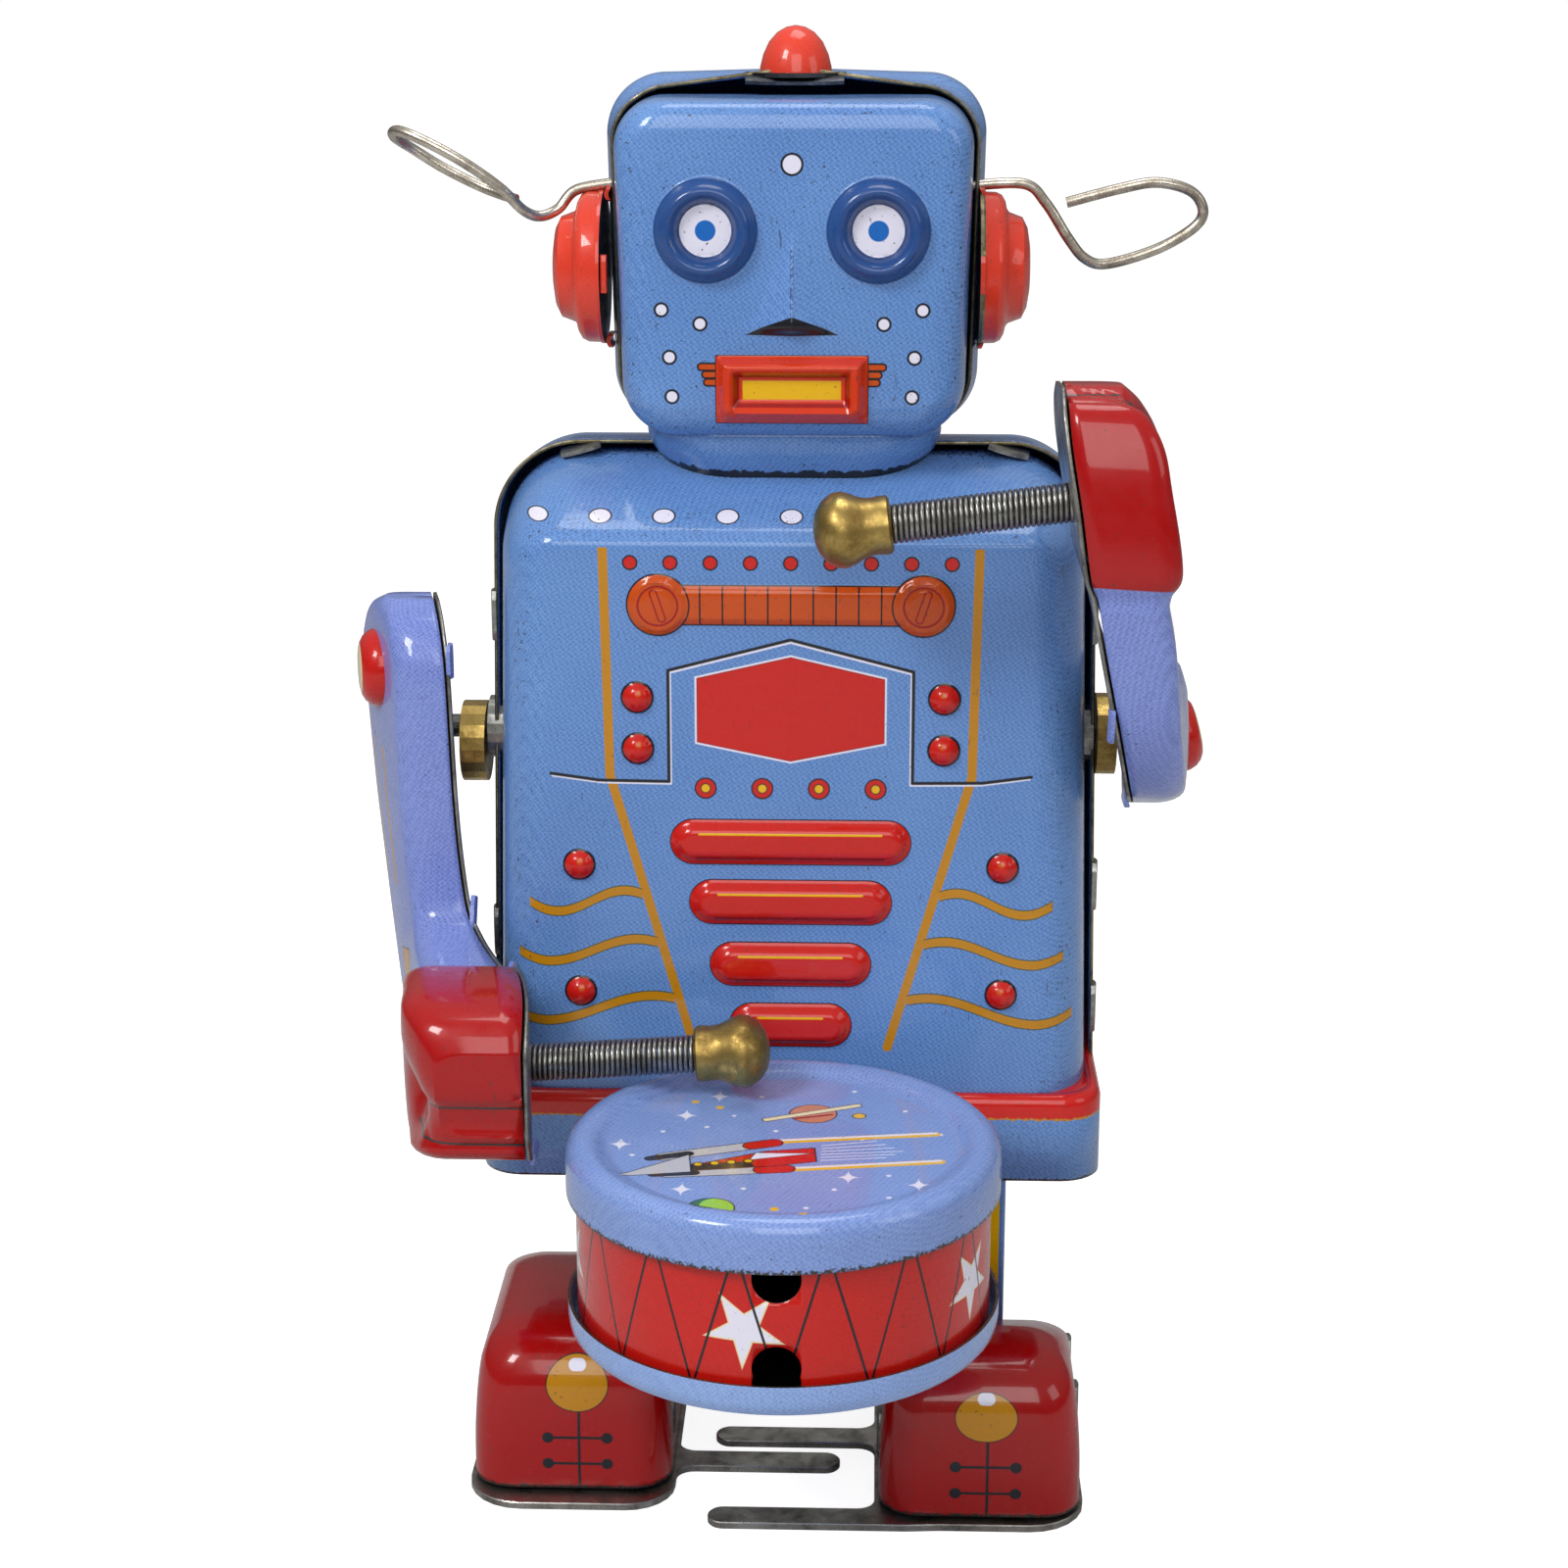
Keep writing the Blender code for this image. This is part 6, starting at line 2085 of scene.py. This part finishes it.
    def _spring(self) -> bpy.types.Object:
        """The drumstick's close coil."""
        start, end = self._stick()
        length = (end - start).length - self.BEAD_LENGTH
        data = bpy.data.meshes.new(f"stick_coil_{self.side.word}")
        thing = add_object(data.name, data)
        COIL.run(thing, Turns=length / self.COIL_PITCH, Radius=self.COIL_R * MM, Length=length * MM,
                 Wire=self.COIL_WIRE * MM, Material=self.finishes.spring)
        turn = (end - start).to_track_quat("Z", "Y").to_matrix().to_4x4()
        place = Datum.to_frame([start])[0]
        thing.data.transform(Matrix.Translation(place) @ turn)
        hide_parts(f"stick_spring_{self.side.word}")
        return thing

    def _bead(self) -> bpy.types.Object:
        """The turned brass bead at the drumstick's end."""
        start, end = self._stick()
        profile = ((0.0, -8.9), (2.9, -8.9), (3.3, -8.6), (3.35, -7.9), (3.25, -7.2), (3.3, -6.2),
                   (3.5, -5.5), (4.0, -4.5), (4.35, -3.5), (4.25, -2.5), (3.5, -1.3), (2.4, -0.5),
                   (1.2, -0.1), (0.0, 0.0))
        bead = Turned(f"stick_head_{self.side.word}", profile, tuple(end), tuple((end - start).normalized()),
                      segments=48)
        thing = bead.build([self.finishes.brass])
        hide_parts(f"stick_bead_{self.side.word}")
        return thing


@dataclass
class Foot:
    """One leg with its shoe.

    A station is (half width, toe, back, z, corner radius, how far the heel slopes) from the shoe's front.
    """

    SHOE_HALF = 12.5
    SOLE_HALF = 13.0
    SOLE_LENGTH = 40.4
    SOLE_THICK = 0.95
    PRONG_HALF = 2.0

    finishes: Finishes
    side: Side
    front: float
    middle_x: float
    heel: float
    welt: float
    prongs: Tuple[float, float] = (-14.4, 6.2)
    prong_tip: float = -9.8
    stations: Sequence[Sequence[float]] = (
        (12.5, 0.0, 38.8, 1.4, 5.0, 0.0), (12.4, 0.1, 38.6, 8.0, 5.0, 1.6), (11.9, 0.7, 37.2, 14.4, 5.0, 9.6),
        (11.2, 1.9, 34.2, 17.6, 5.0, 13.0), (9.6, 4.2, 29.6, 19.8, 4.6, 13.6),
        (7.4, 7.2, 24.4, 20.9, 3.6, 11.4), (4.0, 9.6, 20.0, 21.2, 2.0, 7.6))

    def build(self) -> List[bpy.types.Object]:
        """Make the foot.

        Returns:
            The pieces.
        """
        word, finishes, front = self.side.word, self.finishes, self.front
        loops = []
        for half, toe, back, z, radius, drop in curve_through(self.stations, 6):
            back -= self.heel * drop
            radius = min(radius, 0.4 * (back - toe), 0.9 * half)
            loops.append([(self.side.value * self.middle_x + x, y, z)
                          for x, y in rounded_outline(half, front + toe, front + back, radius)])
        points, faces = skin(loops, cap_end=True)
        shoe = make_piece(f"shoe_tin_{word}", points, faces, [finishes.shoe, finishes.edge], 40.0)
        thicken(shoe)
        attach(shoe, f"leg_{word}")
        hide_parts(f"shoe_{word}")
        sole = self._sole(front - self.welt, front + self.SOLE_LENGTH)
        outer = self.side.value * (self.middle_x + self.SHOE_HALF)
        inner = self.side.value * (self.middle_x - self.SHOE_HALF)
        stands = [((outer, front + 14.0, 9.5), (0.0, 0.0, 1.0), (self.side.value, 0.0, 0.0)),
                  ((outer, front + 28.0, 9.0), (0.0, 0.0, 1.0), (self.side.value, 0.0, 0.0)),
                  ((inner, front + 9.0, 8.0), (0.0, 0.0, 1.0), (-self.side.value, 0.0, 0.0))]
        tabs = tab_row(f"shoe_tabs_{word}", stands, (6.0, 3.4, 0.5), finishes.steel)
        low, high = Datum.box(f"leg_{word}")
        middle = 0.5 * (low.x + high.x)
        loops = [[(middle + x, y, z) for x, y in rounded_outline(0.5 * (high.x - low.x), low.y, high.y, 1.0)]
                 for z in (10.0, high.z - 2.6)]
        points, faces = skin(loops, cap_end=True)
        leg = make_piece(f"leg_tin_{word}", points, faces, [finishes.leg, finishes.edge], 40.0)
        thicken(leg)
        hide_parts(f"leg_{word}")
        for piece in (sole, tabs, leg):
            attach(piece, f"leg_{word}")
        return [shoe, sole, tabs, leg]

    def _sole(self, front: float, rear: float) -> bpy.types.Object:
        """The steel sole with its two outriggers.

        Args:
            front: The sole's front y.
            rear: Its rear y.

        Returns:
            The finished piece.
        """
        near, far = self.middle_x - self.SOLE_HALF, self.middle_x + self.SOLE_HALF
        corners = [(far, rear, 7.0), (near, rear, 6.0)]
        for reach_y in sorted(self.prongs, reverse=True):
            low_y, high_y = reach_y - self.PRONG_HALF, reach_y + self.PRONG_HALF
            corners += [(near, high_y, 2.2), (self.prong_tip, high_y, 1.95), (self.prong_tip, low_y, 1.95)]
            if reach_y - 3.0 > front:
                corners.append((near, low_y, 2.2))
        if self.prongs[0] - 3.0 > front:
            corners.append((near, front, 6.0))
        else:
            corners += [(near + 4.0, self.prongs[0] - self.PRONG_HALF, 4.0), (near + 8.0, front, 4.0)]
        corners.append((far, front, 7.0))
        outline = [(self.side.value * x, y) for x, y in rounded_corners(corners)]
        inset = 0.12
        rings = ((inset, 0.0), (0.0, inset), (0.0, self.SOLE_THICK - inset), (inset, self.SOLE_THICK))
        loops = [[(x, y, z) for x, y in shrunk(outline, gap)] for gap, z in rings]
        points, faces = skin(loops, cap_start=True, cap_end=True)
        sole = make_piece(f"sole_steel_{self.side.word}", points, faces, [self.finishes.plate], 30.0)
        face_out(sole)
        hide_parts(f"sole_{self.side.word}")
        return sole


def rounded_outline(half: float, ahead: float, behind: float, radius: float) -> List[Tuple[float, float]]:
    """A rounded rectangle in plan, anticlockwise from above.

    Args:
        half: Half its width.
        ahead: Its front y.
        behind: Its rear y.
        radius: Its corner radius.

    Returns:
        The outline's points.
    """
    steps = 8
    centres = ((half - radius, behind - radius, 0.0), (radius - half, behind - radius, 90.0),
               (radius - half, ahead + radius, 180.0), (half - radius, ahead + radius, 270.0))
    outline = []
    for x, y, start in centres:
        for step in range(steps + 1):
            angle = math.radians(start + 90.0 * step / steps)
            outline.append((x + radius * math.cos(angle), y + radius * math.sin(angle)))
    return outline


def rounded_corners(corners: Sequence[Tuple[float, float, float]]) -> List[Tuple[float, float]]:
    """An outline whose corners are rounded.

    Args:
        corners: Each corner's x, y and radius.

    Returns:
        The outline's points.
    """
    outline = []
    count, steps = len(corners), 6
    for index, (x, y, radius) in enumerate(corners):
        here = Vector((x, y))
        back = (Vector(corners[index - 1][:2]) - here).normalized()
        ahead = (Vector(corners[(index + 1) % count][:2]) - here).normalized()
        half = 0.5 * math.acos(max(-1.0, min(1.0, back.dot(ahead))))
        run = radius / math.tan(half)
        start, end = here + back * run, here + ahead * run
        centre = here + (back + ahead).normalized() * (radius / math.sin(half))
        first, last = start - centre, end - centre
        sweep = first.angle_signed(last)
        for step in range(steps + 1):
            turn = Matrix.Rotation(-sweep * step / steps, 2)
            outline.append(tuple(centre + turn @ first))
    return outline


def shrunk(outline: Sequence[Tuple[float, float]], gap: float) -> List[Tuple[float, float]]:
    """An outline moved inwards by a gap.

    Args:
        outline: The outline's points.
        gap: How far each point moves.

    Returns:
        The moved points.
    """
    area = sum(a[0] * b[1] - b[0] * a[1] for a, b in zip(outline, outline[1:] + outline[:1]))
    turn = math.copysign(1.0, area)
    result = []
    for index, point in enumerate(outline):
        after, before = outline[(index + 1) % len(outline)], outline[index - 1]
        along = (Vector(after) - Vector(before)).normalized()
        result.append((point[0] - along.y * gap * turn, point[1] + along.x * gap * turn))
    return result


@dataclass
class Works:
    """The winding key and the clockwork behind it."""

    finishes: Finishes

    def build(self) -> List[bpy.types.Object]:
        """Dress the clockwork.

        Returns:
            No new pieces.
        """
        finishes = self.finishes
        steel = ("hip_rod", "motor_plate_front", "motor_plate_rear", "winding_arbor", "second_arbor",
                 "escape_arbor", "winding_key")
        brass = ("motor_pillar_low_left", "motor_pillar_top_left", "motor_pillar_top_right", "great_wheel",
                 "second_wheel", "escape_wheel", "governor_pallet")
        for node in steel:
            finishes.dress(node, finishes.steel)
        for node in brass:
            finishes.dress(node, finishes.brass)
        finishes.dress("mainspring", finishes.dark)
        return []


@dataclass
class Studio:
    """Pale floor, soft lights and the camera.

    A light is its name, its place in metres, its size and its power.
    """

    eye: Point = (9.74, -335.0, 184.6)
    yaw: float = -1.8
    pitch: float = 15.65
    lens: float = 66.6
    room_light: Tuple[float, float] = (0.08, 0.48)
    lights: Sequence[Tuple[str, Point, float, float]] = (
        ("key", (-0.38, -0.42, 0.62), 0.2, 2.6), ("fill", (0.62, -0.3, 0.4), 0.3, 0.55),
        ("front", (0.05, -0.8, 0.55), 0.5, 2.5), ("top", (0.05, 0.1, 0.8), 0.35, 1.6))

    def build(self) -> None:
        """Set the studio up."""
        self._camera()
        self._floor()
        self._sky()
        for lamp in self.lights:
            self._light(*lamp)
        bpy.context.scene.view_settings.view_transform = "Standard"

    def _sky(self) -> None:
        """A bright ceiling over a dimmer horizon, and plain white behind the robot."""
        world = bpy.data.worlds.new("studio")
        world.use_nodes = True
        sheet = NodeSheet(world.node_tree)
        room = world.node_tree.nodes["Background"]
        height = sheet.split(sheet.add("ShaderNodeTexCoord").outputs["Generated"])[2]
        sheet.feed(room.inputs["Strength"], sheet.remap(height, -0.05, 0.8, *self.room_light))
        paper = sheet.add("ShaderNodeBackground")
        paper.inputs["Strength"].default_value = 1.0
        for light in (paper, room):
            light.inputs["Color"].default_value = WHITE
        choose = sheet.add("ShaderNodeMixShader")
        sheet.feed(choose.inputs[0], sheet.add("ShaderNodeLightPath").outputs["Is Camera Ray"])
        sheet.feed(choose.inputs[1], room.outputs[0])
        sheet.feed(choose.inputs[2], paper.outputs[0])
        sheet.feed(world.node_tree.nodes["World Output"].inputs["Surface"], choose.outputs[0])
        bpy.context.scene.world = world

    def _camera(self) -> None:
        """Place the camera."""
        data = bpy.data.cameras.new("camera")
        data.lens = self.lens
        data.sensor_width = 36.0
        data.clip_start = 0.01
        thing = add_object("camera", data)
        yaw, pitch = math.radians(self.yaw), math.radians(self.pitch)
        aim = Vector((math.sin(yaw) * math.cos(pitch), math.cos(yaw) * math.cos(pitch), -math.sin(pitch)))
        thing.location = Datum.to_frame([self.eye])[0]
        thing.rotation_euler = aim.to_track_quat("-Z", "Y").to_euler()
        bpy.context.scene.camera = thing

    def _floor(self) -> None:
        """Lay a wide pale floor."""
        data = bpy.data.meshes.new("floor")
        half = 4.0
        data.from_pydata([(-half, -half, 0.0), (half, -half, 0.0), (half, half, 0.0), (-half, half, 0.0)],
                         [], [(0, 1, 2, 3)])
        material, sheet, shader = open_material("paper floor")
        place = sheet.add("ShaderNodeTexCoord").outputs["Object"]
        grain = sheet.noise(place, 900.0, 2.0)
        tint = sheet.mix(sheet.remap(grain, 0.3, 0.7), (0.5, 0.5, 0.5), (0.56, 0.56, 0.56))
        sheet.feed(shader.inputs["Base Color"], tint)
        shader.inputs["Roughness"].default_value = 0.7
        shader.inputs["Emission Color"].default_value = WHITE
        seen = sheet.add("ShaderNodeLightPath").outputs["Is Camera Ray"]
        sheet.feed(shader.inputs["Emission Strength"], sheet.times(seen, 0.85))
        data.materials.append(material)
        thing = add_object("floor", data)

    def _light(self, name: str, place: Point, size: float, power: float) -> None:
        """Hang a square soft light that faces the robot's middle."""
        data = bpy.data.lights.new(name, "AREA")
        data.size = size
        data.energy = power
        thing = add_object(name, data)
        thing.location = place
        thing.rotation_euler = (Vector((0.0, 0.0, 0.09)) - Vector(place)).to_track_quat("-Z", "Y").to_euler()


def main() -> None:
    """Build the robot's looks, piece by piece."""
    logging.basicConfig(level=logging.INFO, format="%(message)s")
    Studio().build()
    finishes = Finishes()
    groups = (
        BodyCase(finishes), HeadCase(finishes), Drum(finishes),
        Arm(finishes, Side.LEFT, 0.0, 0.0, (31.4, -31.0, -33.4), (2.0, -31.0, -31.3)),
        Arm(finishes, Side.RIGHT, 94.0, 2.1, (32.4, -32.2, -33.3), (2.9, -28.4, -33.0), toe=-1.6,
            slim=1.8, skew=0.0, wedge=0.0, tabs=4),
        Foot(finishes, Side.LEFT, -9.4, 27.3, 0.0, 3.0, prongs=(-0.4, 20.2), prong_tip=-6.4),
        Foot(finishes, Side.RIGHT, -14.9, 23.8, 1.0, 1.2), Works(finishes),
    )
    for group in groups:
        for piece in group.build():
            triangles = sum(len(face.vertices) - 2 for face in piece.data.polygons)
            LOG.info("%s: %s with %d triangles", type(group).__name__, piece.name, triangles)


if __name__ == "__main__":
    main()
